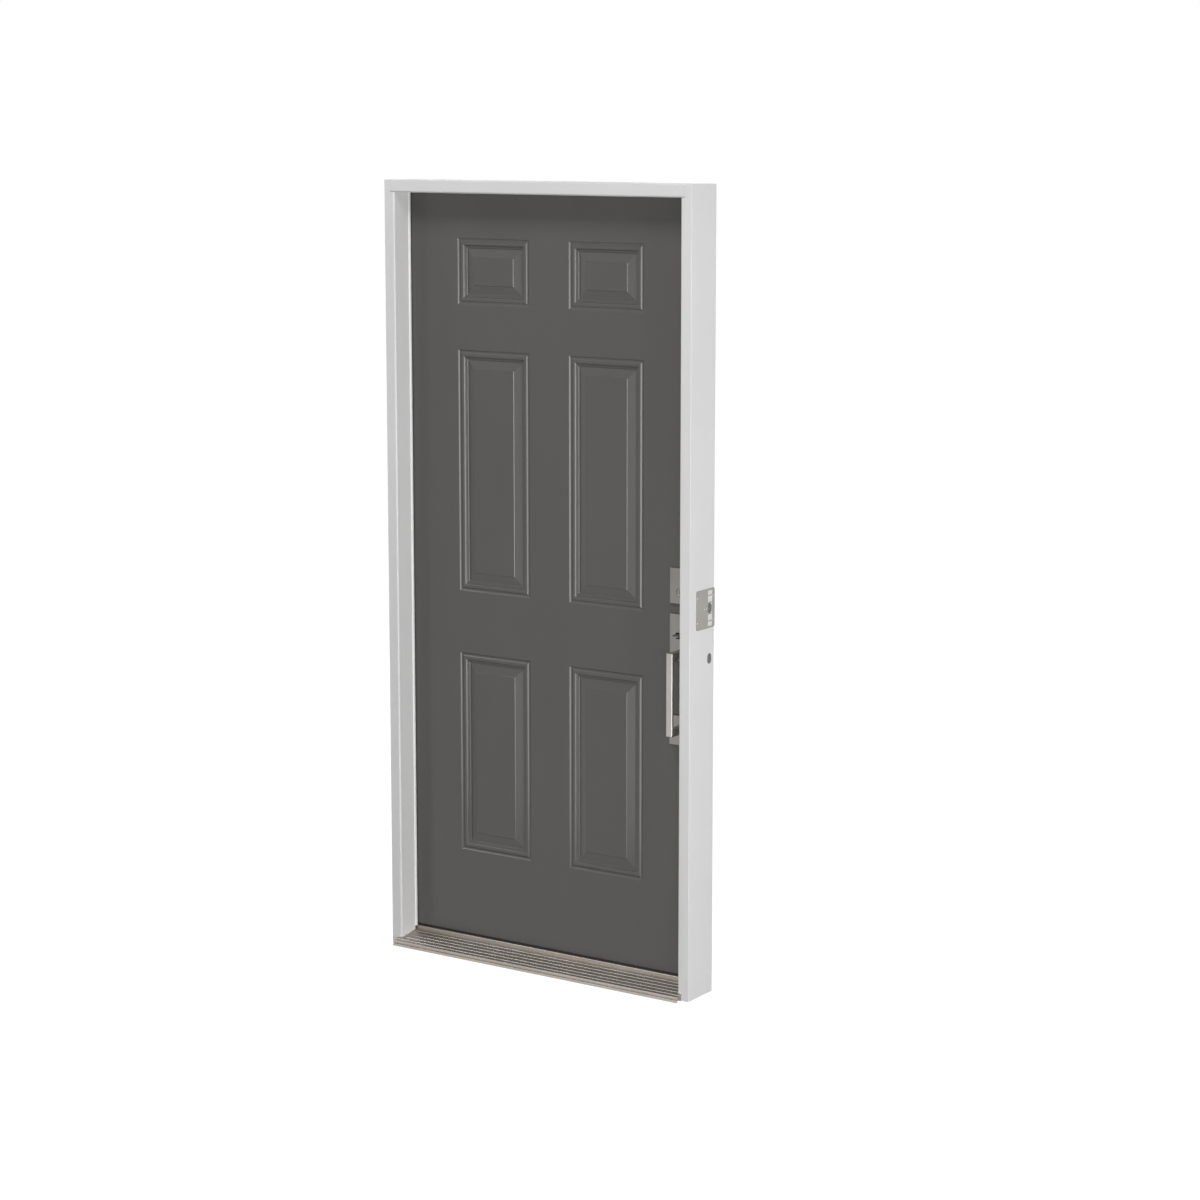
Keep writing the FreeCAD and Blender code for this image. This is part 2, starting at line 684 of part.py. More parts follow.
def hinge_pin(height):
    """The loose pin with its domed head on the top knuckle."""
    foot = height - HINGE_HEIGHT / 2
    rim = PIN_HEAD_HEIGHT * 0.5
    profile = [
        (0, 0),
        (0, PIN_RADIUS),
        (HINGE_HEIGHT, PIN_RADIUS),
        (HINGE_HEIGHT, PIN_HEAD_RADIUS),
        (HINGE_HEIGHT + rim, PIN_HEAD_RADIUS),
        (HINGE_HEIGHT + PIN_HEAD_HEIGHT, PIN_HEAD_RADIUS * 0.55),
        (HINGE_HEIGHT + PIN_HEAD_HEIGHT, 0),
    ]
    return turned(profile, Vector(AXIS_X, AXIS_Y, foot), Vector(0, 0, 1))


def hinge_mortises(jamb_side):
    return [hinge_leaf_plate(height, jamb_side) for height in HINGE_HEIGHTS]


# Lock edge: everything here is drawn square to a straight edge and then tilted with the bevel
def tilted_to_edge(shape):
    return shape.rotated(Vector(MIDDLE_LOCK_EDGE_X, MIDDLE_Y, 0), Vector(0, 0, 1), -EDGE_TILT_DEGREES)


def edge_bore(height):
    length = LOCK_BACKSET + 5
    bore = cylinder(
        Vector(MIDDLE_LOCK_EDGE_X + 5, MIDDLE_Y, height), Vector(-1, 0, 0), EDGE_BORE_RADIUS, length
    )
    return tilted_to_edge(bore)


def faceplate_blank(height, play, thickness):
    corners = rounded_rectangle(
        (MIDDLE_Y, height),
        FACEPLATE_WIDTH + 2 * play,
        FACEPLATE_HEIGHT + 2 * play,
        FACEPLATE_CORNER_RADIUS + play,
    )
    return prism(corners, side_at(MIDDLE_LOCK_EDGE_X), Vector(-thickness, 0, 0))


def faceplate_mortise(height):
    recess = faceplate_blank(height, CASE_PLAY, FACEPLATE_THICKNESS)
    mouth = faceplate_blank(height, CASE_PLAY, -2)
    return tilted_to_edge(recess.fuse(mouth))


def bolt_block(height, width, depth, play, length):
    corners = rounded_rectangle((MIDDLE_Y, height), width + 2 * play, depth + 2 * play, 1.5)
    return prism(corners, side_at(MIDDLE_LOCK_EDGE_X), Vector(-length, 0, 0))


def bolt_case(height, width, depth):
    """A faceplate with the short tube behind it that the bolt slides in."""
    plate = faceplate_blank(height, 0, FACEPLATE_THICKNESS)
    tube = cylinder(
        Vector(MIDDLE_LOCK_EDGE_X, MIDDLE_Y, height),
        Vector(-1, 0, 0),
        EDGE_BORE_RADIUS - CASE_PLAY,
        BOLT_CASE_LENGTH,
    )
    channel = bolt_block(height, width, depth, BOLT_PLAY, BOLT_CASE_LENGTH + 1)
    return tilted_to_edge(plate.fuse(tube).cut(channel))


def deadbolt():
    bolt = bolt_block(DEADBOLT_HEIGHT, DEADBOLT_WIDTH, DEADBOLT_DEPTH, 0, BOLT_CASE_LENGTH)
    return tilted_to_edge(bolt)


def latch_bolt():
    """The spring latch, drawn in flush, with the ramp that rides over the strike's lip."""
    bolt = bolt_block(LATCH_HEIGHT, LATCH_WIDTH, LATCH_DEPTH, 0, BOLT_CASE_LENGTH)
    edge = MIDDLE_LOCK_EDGE_X
    back = MIDDLE_Y + LATCH_WIDTH / 2
    ramp = prism(
        [(edge + 1, back + 1), (edge + 1, MIDDLE_Y - LATCH_WIDTH / 4), (edge - LATCH_WIDTH * 0.6, back + 1)],
        plan_at(LATCH_HEIGHT - LATCH_DEPTH),
        Vector(0, 0, 2 * LATCH_DEPTH),
    )
    return tilted_to_edge(bolt.cut(ramp))


# Strikes and pockets in the strike jamb
def strike_blank(height, plate_height, play):
    front = MIDDLE_Y - STRIKE_WIDTH / 2
    corners = rounded_rectangle(
        (front + STRIKE_WIDTH / 2, height),
        STRIKE_WIDTH + 2 * play,
        plate_height + 2 * play,
        FACEPLATE_CORNER_RADIUS + play,
    )
    return prism(corners, side_at(RABBET_X), Vector(STRIKE_THICKNESS, 0, 0))


def strike_plate(height, plate_height, bolt_width, bolt_depth):
    """A strike let in flush, with its bolt hole."""
    hole = rounded_rectangle(
        (MIDDLE_Y, height), bolt_width + 2 * STRIKE_HOLE_PLAY, bolt_depth + 2 * STRIKE_HOLE_PLAY, 2.5
    )
    opening = prism(hole, side_at(RABBET_X - 1), Vector(STRIKE_THICKNESS + 2, 0, 0))
    return strike_blank(height, plate_height, 0).cut(opening)


def strike_lip():
    """The latch strike's tongue: flush to the jamb's indoor edge, then curled clear of the leaf."""
    bend = JAMB_DEPTH + STRIKE_LIP_REACH
    inner_bend = bend - STRIKE_THICKNESS
    inner_x = RABBET_X + STRIKE_THICKNESS
    end_x = RABBET_X + STRIKE_LIP_TURN
    start = MIDDLE_Y + STRIKE_WIDTH / 4
    corners = [
        (RABBET_X, start),
        (RABBET_X, bend, STRIKE_LIP_CURL),
        (end_x, bend),
        (end_x, inner_bend),
        (inner_x, inner_bend, STRIKE_LIP_CURL - STRIKE_THICKNESS),
        (inner_x, start),
    ]
    low = LATCH_HEIGHT - STRIKE_LIP_HEIGHT / 2
    return prism(corners, plan_at(low), Vector(0, 0, STRIKE_LIP_HEIGHT))


def latch_strike():
    plate = strike_plate(LATCH_HEIGHT, LATCH_STRIKE_HEIGHT, LATCH_WIDTH, LATCH_DEPTH)
    return plate.fuse(strike_lip()).removeSplitter()


def strike_pocket(height):
    return cylinder(
        Vector(RABBET_X - 1, MIDDLE_Y, height), Vector(1, 0, 0), STRIKE_POCKET_RADIUS, STRIKE_POCKET_DEPTH + 1
    )


def window_rows():
    """The five windows of the outer plate: height of the middle of each, and how tall it is."""
    middle = SECURITY_PLATE_MIDDLE_HEIGHT
    inner = MIDDLE_WINDOW_HEIGHT / 2 + WINDOW_BAR + INNER_WINDOW_HEIGHT / 2
    outer = inner + INNER_WINDOW_HEIGHT / 2 + WINDOW_BAR + OUTER_WINDOW_HEIGHT / 2
    rows = [(middle, MIDDLE_WINDOW_HEIGHT)]
    for side in (-1, 1):
        rows.append((middle + side * inner, INNER_WINDOW_HEIGHT))
        rows.append((middle + side * outer, OUTER_WINDOW_HEIGHT))
    return rows


def security_plate():
    """The pierced steel plate on the strike jamb's outer side."""
    blank = rounded_rectangle(
        (SECURITY_MIDDLE_Y, SECURITY_PLATE_MIDDLE_HEIGHT),
        SECURITY_PLATE_DEPTH,
        SECURITY_PLATE_HEIGHT,
        SECURITY_PLATE_CORNER_RADIUS,
    )
    plate = prism(blank, side_at(HALF_WIDTH), Vector(SECURITY_PLATE_THICKNESS, 0, 0))
    through = Vector(SECURITY_PLATE_THICKNESS + 2, 0, 0)
    for height, tall in window_rows():
        window = rounded_rectangle((WINDOW_Y, height), WINDOW_WIDTH, tall, WINDOW_CORNER_RADIUS)
        plate = plate.cut(prism(window, side_at(HALF_WIDTH - 1), through))
    holes = [(SECURITY_PIN_HOLE_OFFSET, 0, SECURITY_PIN_HOLE_RADIUS)]
    holes.append((SECURITY_LATCH_HOLE_OFFSET, 0, SECURITY_PIN_HOLE_RADIUS))
    for across in (-0.5, 0.5):
        for up in (-0.5, 0.5):
            y = across * SECURITY_SCREW_SPACING_DEPTH
            z = up * SECURITY_SCREW_SPACING_HEIGHT
            holes.append((y, z, SECURITY_SCREW_RADIUS))
    for y, z, radius in holes:
        start = Vector(HALF_WIDTH - 1, SECURITY_MIDDLE_Y + y, SECURITY_PLATE_MIDDLE_HEIGHT + z)
        plate = plate.cut(cylinder(start, Vector(1, 0, 0), radius, SECURITY_PLATE_THICKNESS + 2))
    return plate


def outer_pockets():
    """The two blind bolt pockets that are bored into the strike jamb from outside."""
    lower = SECURITY_PLATE_MIDDLE_HEIGHT - LATCH_POCKET_BELOW_PLATE
    pockets = []
    for height, width, tall in (
        (SECURITY_PLATE_MIDDLE_HEIGHT, WINDOW_WIDTH, MIDDLE_WINDOW_HEIGHT),
        (lower, LATCH_POCKET_WIDTH, LATCH_POCKET_HEIGHT),
    ):
        shape = rounded_rectangle((MIDDLE_Y, height), width, tall, width * 0.49)
        pockets.append(prism(shape, side_at(HALF_WIDTH + 1), Vector(-POCKET_DEPTH - 1, 0, 0)))
    return pockets


# Outdoor lock plates, grip, cylinder and thumb piece
def trim_plate(foot, height):
    """A flat cast plate with its outdoor edges rounded over."""
    plate = box(
        LOCK_X - PLATE_WIDTH / 2, LOCK_X + PLATE_WIDTH / 2, PLATE_FRONT_Y, FACE_Y, foot, foot + height
    )
    rim = []
    for edge in plate.Edges:
        if all(abs(vertex.Y - PLATE_FRONT_Y) < 1e-6 for vertex in edge.Vertexes):
            rim.append(edge)
    return plate.makeFillet(PLATE_EDGE_RADIUS, rim)


def deadbolt_plate():
    plate = trim_plate(DEADBOLT_HEIGHT - DEADBOLT_PLATE_BELOW, DEADBOLT_PLATE_HEIGHT)
    hole = cylinder(
        Vector(LOCK_X, PLATE_FRONT_Y - 1, DEADBOLT_HEIGHT),
        Vector(0, 1, 0),
        CYLINDER_RADIUS + CYLINDER_PLAY,
        PLATE_THICKNESS + 2,
    )
    groove = cylinder(
        Vector(LOCK_X, PLATE_FRONT_Y - 1, DEADBOLT_HEIGHT),
        Vector(0, 1, 0),
        CYLINDER_RADIUS + CYLINDER_GROOVE,
        CYLINDER_GROOVE_DEPTH + 1,
    )
    return plate.cut(hole).cut(groove)


def key_cylinder():
    """The lock cylinder: a raised rim round a dished face with the keyway in it."""
    front = PLATE_FRONT_Y - CYLINDER_PROUD
    inner = CYLINDER_RADIUS - CYLINDER_RIM
    profile = [
        (CYLINDER_DISH, 0),
        (CYLINDER_DISH, inner - CYLINDER_DISH),
        (0, inner),
        (0, CYLINDER_RADIUS - CYLINDER_RIM / 3),
        (CYLINDER_RIM / 3, CYLINDER_RADIUS),
        (CYLINDER_LENGTH, CYLINDER_RADIUS),
        (CYLINDER_LENGTH, 0),
    ]
    body = turned(profile, Vector(LOCK_X, front, DEADBOLT_HEIGHT), Vector(0, 1, 0))
    keyway = box(
        LOCK_X - KEYWAY_WIDTH / 2,
        LOCK_X + KEYWAY_WIDTH / 2,
        front - 1,
        front + KEYWAY_DEPTH,
        DEADBOLT_HEIGHT - KEYWAY_HEIGHT / 2,
        DEADBOLT_HEIGHT + KEYWAY_HEIGHT / 2,
    )
    return body.cut(keyway)


def handle_upper_plate():
    """The plate with the thumb piece's slot, and two lugs behind it that hold the thumb piece's pin."""
    plate = trim_plate(LATCH_HEIGHT - UPPER_PLATE_BELOW, UPPER_PLATE_HEIGHT)
    half_slot = THUMB_WIDTH / 2 + THUMB_SIDE_PLAY
    slot = box(
        LOCK_X - half_slot,
        LOCK_X + half_slot,
        PLATE_FRONT_Y - 1,
        FACE_Y + 1,
        THUMB_TOP_Z - THUMB_THICKNESS - THUMB_SLOT_BELOW,
        THUMB_TOP_Z + THUMB_SLOT_ABOVE,
    )
    plate = plate.cut(slot)
    for side in (-1, 1):
        inner_x = LOCK_X + side * half_slot
        outer_x = inner_x + side * LUG_THICKNESS
        lug = box(
            min(inner_x, outer_x),
            max(inner_x, outer_x),
            FACE_Y,
            THUMB_PIN_Y,
            THUMB_PIN_Z - THUMB_BOSS_RADIUS,
            THUMB_PIN_Z + THUMB_BOSS_RADIUS,
        )
        end = cylinder(
            Vector(min(inner_x, outer_x), THUMB_PIN_Y, THUMB_PIN_Z),
            Vector(1, 0, 0),
            THUMB_BOSS_RADIUS,
            LUG_THICKNESS,
        )
        plate = plate.fuse(lug).fuse(end)
    pin = cylinder(
        Vector(LOCK_X - half_slot - LUG_THICKNESS, THUMB_PIN_Y, THUMB_PIN_Z),
        Vector(1, 0, 0),
        THUMB_PIN_RADIUS,
        2 * (half_slot + LUG_THICKNESS),
    )
    return plate.fuse(pin).removeSplitter()


def handle_lower_plate():
    return trim_plate(LATCH_HEIGHT - LOWER_PLATE_BELOW, LOWER_PLATE_HEIGHT)


def grip_handle():
    """The flat pull bar and its two arms, bent from one section and rounded along its edges."""
    front = GRIP_FRONT_Y
    bar_back = GRIP_FRONT_Y + GRIP_BAR
    corners = [
        (PLATE_FRONT_Y, GRIP_TOP),
        (front, GRIP_TOP, GRIP_CORNER_RADIUS),
        (front, GRIP_FOOT, GRIP_CORNER_RADIUS),
        (PLATE_FRONT_Y, GRIP_FOOT),
        (PLATE_FRONT_Y, GRIP_FOOT + GRIP_ARM),
        (bar_back, GRIP_FOOT + GRIP_ARM, GRIP_CORNER_RADIUS),
        (bar_back, GRIP_TOP - GRIP_ARM, GRIP_CORNER_RADIUS),
        (PLATE_FRONT_Y, GRIP_TOP - GRIP_ARM),
    ]
    grip = prism(corners, side_at(LOCK_X - GRIP_WIDTH / 2), Vector(GRIP_WIDTH, 0, 0))
    outer_edges = []
    for edge in grip.Edges:
        middle = edge.CenterOfMass
        on_side = abs(abs(middle.x - LOCK_X) - GRIP_WIDTH / 2) < 1e-6
        if on_side and middle.y < PLATE_FRONT_Y - 1e-3:
            outer_edges.append(edge)
    return grip.makeFillet(GRIP_EDGE_RADIUS, outer_edges)


def thumb_piece():
    """The thumb piece: a dipped paddle outside, a boss round its pin, and a tail that lifts the latch."""
    low = THUMB_TOP_Z - THUMB_THICKNESS
    tip = PLATE_FRONT_Y - THUMB_REACH
    bend = PLATE_FRONT_Y - THUMB_REACH * 0.35
    corners = [
        (tip, THUMB_TOP_Z - THUMB_DROP, THUMB_THICKNESS * 0.4),
        (bend, THUMB_TOP_Z, THUMB_REACH * 0.6),
        (THUMB_PIN_Y, THUMB_TOP_Z),
        (THUMB_PIN_Y, low),
        (bend, low, THUMB_REACH * 0.6),
        (tip, low - THUMB_DROP, THUMB_THICKNESS * 0.4),
    ]
    start = LOCK_X - THUMB_WIDTH / 2
    paddle = prism(corners, side_at(start), Vector(THUMB_WIDTH, 0, 0))
    boss_start = Vector(start, THUMB_PIN_Y, THUMB_PIN_Z)
    boss = cylinder(boss_start, Vector(1, 0, 0), THUMB_BOSS_RADIUS, THUMB_WIDTH)
    bore = cylinder(boss_start, Vector(1, 0, 0), THUMB_PIN_RADIUS + PIN_RUNNING_CLEARANCE, THUMB_WIDTH)
    tail = box(
        LOCK_X - THUMB_TAIL_WIDTH / 2,
        LOCK_X + THUMB_TAIL_WIDTH / 2,
        THUMB_PIN_Y,
        THUMB_PIN_Y + THUMB_TAIL,
        low,
        THUMB_TOP_Z,
    )
    return paddle.fuse(boss).fuse(tail).removeSplitter().cut(bore)


# Indoor trim
def rose(height):
    """A round rose on the indoor skin: a straight rim, then two slopes that soften its edge."""
    edge = ROSE_EDGE_RADIUS
    profile = [
        (0, 0),
        (0, ROSE_RADIUS),
        (ROSE_THICKNESS - edge, ROSE_RADIUS),
        (ROSE_THICKNESS - edge * 0.3, ROSE_RADIUS - edge * 0.3),
        (ROSE_THICKNESS, ROSE_RADIUS - edge),
        (ROSE_THICKNESS, 0),
    ]
    return turned(profile, Vector(LOCK_X, BACK_Y, height), Vector(0, 1, 0))


def thumb_turn():
    """The turn button: a short neck and a flat oval grip."""
    base_y = BACK_Y + ROSE_THICKNESS
    neck = cylinder(
        Vector(LOCK_X, base_y, DEADBOLT_HEIGHT), Vector(0, 1, 0), TURN_NECK_RADIUS, TURN_NECK_LENGTH
    )
    half = TURN_LENGTH / 2
    front = base_y + TURN_NECK_LENGTH
    back = front + TURN_PROJECTION
    corners = [
        (front, DEADBOLT_HEIGHT - half, TURN_PROJECTION * 0.4),
        (back, DEADBOLT_HEIGHT - half * 0.75, TURN_PROJECTION * 0.4),
        (back, DEADBOLT_HEIGHT + half * 0.75, TURN_PROJECTION * 0.4),
        (front, DEADBOLT_HEIGHT + half, TURN_PROJECTION * 0.4),
    ]
    paddle = prism(corners, side_at(LOCK_X - TURN_THICKNESS / 2), Vector(TURN_THICKNESS, 0, 0))
    return paddle.fuse(neck)


def inside_lever():
    """The lever: a round neck, then a bar that points to the hinges and turns in at its tip."""
    base_y = BACK_Y + ROSE_THICKNESS
    outer_y = base_y + LEVER_PROJECTION
    inner_y = outer_y - LEVER_BAR
    tip_x = LOCK_X - LEVER_LENGTH
    elbow_x = LOCK_X - LEVER_LENGTH * 0.62
    end_x = LOCK_X + LEVER_NECK_RADIUS
    sweep = LEVER_LENGTH * 0.4
    corners = [
        (end_x, inner_y),
        (elbow_x, inner_y, sweep),
        (tip_x, inner_y - LEVER_TIP_DIP, LEVER_BAR * 0.3),
        (tip_x, outer_y - LEVER_TIP_DIP, LEVER_BAR * 0.3),
        (elbow_x, outer_y, sweep),
        (end_x, outer_y, LEVER_BAR * 0.5),
    ]
    low = LATCH_HEIGHT - LEVER_HEIGHT / 2
    bar = prism(corners, plan_at(low), Vector(0, 0, LEVER_HEIGHT))
    neck = cylinder(
        Vector(LOCK_X, base_y, LATCH_HEIGHT), Vector(0, 1, 0), LEVER_NECK_RADIUS, LEVER_PROJECTION - LEVER_BAR / 2
    )
    return bar.fuse(neck)


# The assembly
def strike_jamb():
    jamb = side_jamb(1)
    jamb = cut_all(jamb, outer_pockets())
    jamb = jamb.cut(strike_blank(DEADBOLT_HEIGHT, DEADBOLT_STRIKE_HEIGHT, 0))
    jamb = jamb.cut(strike_blank(LATCH_HEIGHT, LATCH_STRIKE_HEIGHT, 0)).cut(strike_lip())
    return jamb.cut(strike_pocket(DEADBOLT_HEIGHT)).cut(strike_pocket(LATCH_HEIGHT))


def make_nodes():
    door_mortises = hinge_mortises(False)
    nodes = {
        "hinge_jamb": cut_all(side_jamb(-1), hinge_mortises(True)),
        "strike_jamb": strike_jamb(),
        "head_jamb": head_jamb(),
        "weatherstrip_hinge_side": side_weatherstrip(-1),
        "weatherstrip_strike_side": side_weatherstrip(1),
        "weatherstrip_head": head_weatherstrip(),
        "sill_deck": sill_deck(),
        "sill_base": sill_base(),
        "sill_cap": sill_cap(),
        "security_plate": security_plate(),
        "deadbolt_strike": strike_plate(
            DEADBOLT_HEIGHT, DEADBOLT_STRIKE_HEIGHT, DEADBOLT_WIDTH, DEADBOLT_DEPTH
        ),
        "latch_strike": latch_strike(),
        "outer_skin": cut_all(skin_sheet(FACE_Y, 1), door_mortises),
        "inner_skin": cut_all(skin_sheet(BACK_Y, -1), door_mortises),
        "foam_core": foam_core(),
        "hinge_stile": cut_all(stile(False), door_mortises),
        "lock_stile": stile(True),
        "top_rail": rail(LEAF_TOP - TOP_RAIL_HEIGHT, LEAF_TOP),
        "bottom_rail": rail(LEAF_FOOT, LEAF_FOOT + BOTTOM_RAIL_HEIGHT),
        "door_sweep": door_sweep(),
        "deadbolt_plate": deadbolt_plate(),
        "key_cylinder": key_cylinder(),
        "deadbolt_case": bolt_case(DEADBOLT_HEIGHT, DEADBOLT_WIDTH, DEADBOLT_DEPTH),
        "deadbolt": deadbolt(),
        "latch_case": bolt_case(LATCH_HEIGHT, LATCH_WIDTH, LATCH_DEPTH),
        "latch_bolt": latch_bolt(),
        "handle_upper_plate": handle_upper_plate(),
        "handle_lower_plate": handle_lower_plate(),
        "grip_handle": grip_handle(),
        "thumb_piece": thumb_piece(),
        "deadbolt_rose": rose(DEADBOLT_HEIGHT),
        "thumb_turn": thumb_turn(),
        "lever_rose": rose(LATCH_HEIGHT),
        "inside_lever": inside_lever(),
    }
    for name, height in zip(HINGE_NAMES, HINGE_HEIGHTS):
        nodes["jamb_hinge_leaf_" + name] = hinge_leaf(height, True)
        nodes["door_hinge_leaf_" + name] = hinge_leaf(height, False)
        nodes["hinge_pin_" + name] = hinge_pin(height)
    return nodes


os.makedirs("parts", exist_ok=True)
for node_name, shape in make_nodes().items():
    solids = shape.Solids
    print(f"{node_name:28s} solids {len(solids)} valid {shape.isValid()} volume {shape.Volume / 1000:10.2f} cm3")
    shape.exportStep("parts/" + node_name + ".step")
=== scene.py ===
# %% [markdown]
# # A pre-hung steel entry door
#
# The real object is an embossed steel leaf with six panels, hung in a white rabbeted jamb set on
# a ribbed metal sill. The solids come from the CAD part, already in place, in metres. X runs
# across the doorway, Y goes indoors and Z is up. This lesson gives every solid a finish of its
# own, adds the small fixings that the solids leave out, and sets up the light and the camera.

import math

import bmesh
import bpy
from mathutils import Matrix, Vector


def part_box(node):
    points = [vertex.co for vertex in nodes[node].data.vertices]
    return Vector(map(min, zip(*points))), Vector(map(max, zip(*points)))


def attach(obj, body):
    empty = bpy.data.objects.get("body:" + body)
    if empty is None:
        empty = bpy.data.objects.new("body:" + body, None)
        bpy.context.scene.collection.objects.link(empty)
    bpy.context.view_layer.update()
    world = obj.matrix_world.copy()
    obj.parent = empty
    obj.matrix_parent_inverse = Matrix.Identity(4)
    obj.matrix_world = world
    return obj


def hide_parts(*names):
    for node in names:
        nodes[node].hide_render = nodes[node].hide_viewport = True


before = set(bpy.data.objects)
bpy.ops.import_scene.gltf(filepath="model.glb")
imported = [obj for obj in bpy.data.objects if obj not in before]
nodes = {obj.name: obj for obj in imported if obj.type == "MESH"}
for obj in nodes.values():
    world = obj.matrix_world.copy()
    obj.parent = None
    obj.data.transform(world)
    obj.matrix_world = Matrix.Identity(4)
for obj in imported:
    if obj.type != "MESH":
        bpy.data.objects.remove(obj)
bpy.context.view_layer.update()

# %% [markdown]
# ## Camera
#
# The photograph was taken with a level camera whose picture was shifted up, so that upright edges
# stay upright. A large shift would push the door out of the picture in other views. A camera that
# looks down a little, from further away and with a longer lens, puts every corner of the door
# within about 11 pixels of its place in the photograph, with a shift of one twentieth.

# %% Camera
CAMERA_PLACE = (4.1582, -5.9018, 2.2439)
CAMERA_TURN = math.radians(33.808)
CAMERA_DOWN = math.radians(8.597)
LENS = 84.8
SHIFT_UP = -0.05

camera_data = bpy.data.cameras.new("camera")
camera_data.lens = LENS
camera_data.sensor_width = 36.0
camera_data.shift_y = SHIFT_UP
camera_data.clip_end = 100.0
camera = bpy.data.objects.new("camera", camera_data)
camera.location = CAMERA_PLACE
camera.rotation_euler = (math.pi / 2 - CAMERA_DOWN, 0.0, CAMERA_TURN)
scene = bpy.context.scene
scene.collection.objects.link(camera)
scene.camera = camera
scene.view_settings.view_transform = "Standard"
print("camera is", round(camera.location.length, 2), "m from the origin, lens", LENS, "mm")

# %% [markdown]
# ## A short way to write materials
#
# A finish is a small network of nodes. Building one by hand takes three lines for each node and
# one for each link, so a few helpers do it here. A Wire is an output of a node, and sums and
# products of wires add Math nodes. A Network makes any node from its type, its settings and its
# inputs, and a Finish is the network of one material.

# %% Helpers for materials
class Wire:
    """An output of a node. Arithmetic on it adds Math nodes to the same network."""

    def __init__(self, network, socket):
        self.network = network
        self.socket = socket

    def beside(self, output):
        """Another output of the same node."""
        return Wire(self.network, self.socket.node.outputs[output])

    def math(self, operation, first, second=0.0):
        return self.network.node("ShaderNodeMath", {"operation": operation}, {0: first, 1: second})

    def __add__(self, other):
        return self.math("ADD", self, other)

    def __sub__(self, other):
        return self.math("SUBTRACT", self, other)

    def __rsub__(self, other):
        return self.math("SUBTRACT", other, self)

    def __mul__(self, other):
        return self.math("MULTIPLY", self, other)

    def __abs__(self):
        return self.math("ABSOLUTE", self)

    def __gt__(self, other):
        return self.math("GREATER_THAN", self, other)

    __radd__ = __add__
    __rmul__ = __mul__


class Network:
    """A tree of nodes written as code. Every node in it comes from node()."""

    def __init__(self, tree):
        self.tree = tree
        self.tree.nodes.clear()

    def node(self, kind, settings=(), inputs=(), output=0):
        made = self.tree.nodes.new(kind)
        for setting, value in dict(settings).items():
            if setting == "stops":
                ramp = made.color_ramp
                while len(ramp.elements) < len(value):
                    ramp.elements.new(1.0)
                for element, (place, colour) in zip(ramp.elements, value):
                    element.position = place
                    element.color = colour
            else:
                setattr(made, setting, value)
        for socket, value in dict(inputs).items():
            several = isinstance(value, list) and isinstance(value[0], Wire)
            for one in value if several else [value]:
                if isinstance(one, Wire):
                    self.tree.links.new(one.socket, made.inputs[socket])
                else:
                    made.inputs[socket].default_value = one
        return Wire(self, made.outputs[output]) if made.outputs else None


class Finish(Network):
    """One procedural material."""

    def __init__(self, name):
        self.material = bpy.data.materials.new(name)
        self.material.use_nodes = True
        super().__init__(self.material.node_tree)

    def place(self, stretch=(1.0, 1.0, 1.0)):
        """The point on the object, in metres, stretched along each axis."""
        point = self.node("ShaderNodeTexCoord", output="Object")
        return self.node("ShaderNodeMapping", {}, {"Vector": point, "Scale": stretch})

    def noise(self, stretch, detail, roughness=0.5):
        return self.node("ShaderNodeTexNoise", {}, {
            "Vector": self.place(stretch), "Scale": 1.0, "Detail": detail, "Roughness": roughness})

    def spread(self, value, low, high, to_low, to_high):
        """A value brought from one range to another, and held inside it."""
        return self.node("ShaderNodeMapRange", {}, {
            0: value, 1: low, 2: high, 3: to_low, 4: to_high})

    def blend(self, factor, first, second):
        """A colour between two colours."""
        return self.node("ShaderNodeMix", {"data_type": "RGBA"}, {0: factor, 6: first, 7: second}, 2)

    def bump(self, height, relief):
        """Unevenness that stands up to this far out, in metres."""
        return self.node("ShaderNodeBump", {}, {"Height": height, "Distance": relief, "Strength": 1.0})

    def surface(self, **inputs):
        """Closes the material with a Principled shader. Underscores in names stand for spaces."""
        named = {name.replace("_", " "): value for name, value in inputs.items()}
        shader = self.node("ShaderNodeBsdfPrincipled", {}, named)
        self.node("ShaderNodeOutputMaterial", {}, {"Surface": shader})
        return self.material


def grey(level):
    """A neutral colour. 0 is black and 1 is white."""
    return (level, level, level, 1.0)


def scaled(colour, factor):
    """A colour made lighter or darker, with the alpha that a socket needs."""
    return tuple(part * factor for part in colour) + (1.0,)


# A noise keeps mostly to the middle of its range. This part of it is stretched to the whole.
NOISE_RANGE = (0.3, 0.7)
WHOLE_RANGE = (0.0, 1.0)
print("helpers ready")

# %% [markdown]
# ## Painted wood
#
# The jambs are finger-jointed pine with a factory coat of white. Close up the coat isn't smooth:
# it keeps a little of the grain, which runs along each board, and a fine stipple from the roller.
# Both are bump only, and the colour hardly changes. The grain has to turn with the board, so one
# function takes its direction. The walls of the pockets for the bolts get a dim grey, which is
# painted shade for the shade inside them, so a mask picks out every face that lies inside the
# strike jamb's outline.

# %% White paint on the jambs
# The grey of the painted shade on the walls of the bored pockets.
POCKET_SHADE_GREY = 0.36
WHITE_TONES = (grey(0.705), grey(0.735))
GRAIN_SCALE_ACROSS = 420.0
GRAIN_SCALE_ALONG = 9.0
STIPPLE_SCALE = 1100.0
TONE_SCALE = 3.0
WHITE_RELIEF = 0.00006
# A wall of a pocket starts this far below the jamb's painted faces.
JAMB_SKIN = 0.0006


def pocket_shade_mask(finish):
    """1 on the walls of the pockets in the strike jamb, where shade is painted, and 0 on its outer
    faces.
    """
    low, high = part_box("strike_jamb")
    rabbet_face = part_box("deadbolt_strike")[0][0]
    across = finish.node("ShaderNodeSeparateXYZ", {}, {"Vector": finish.place()}, "X")
    deep = across.beside("Y")
    between_faces = (across > rabbet_face + JAMB_SKIN) * (1 - (across > high[0] - JAMB_SKIN))
    return between_faces * (deep > low[1] + JAMB_SKIN) * (1 - (deep > high[1] - JAMB_SKIN))


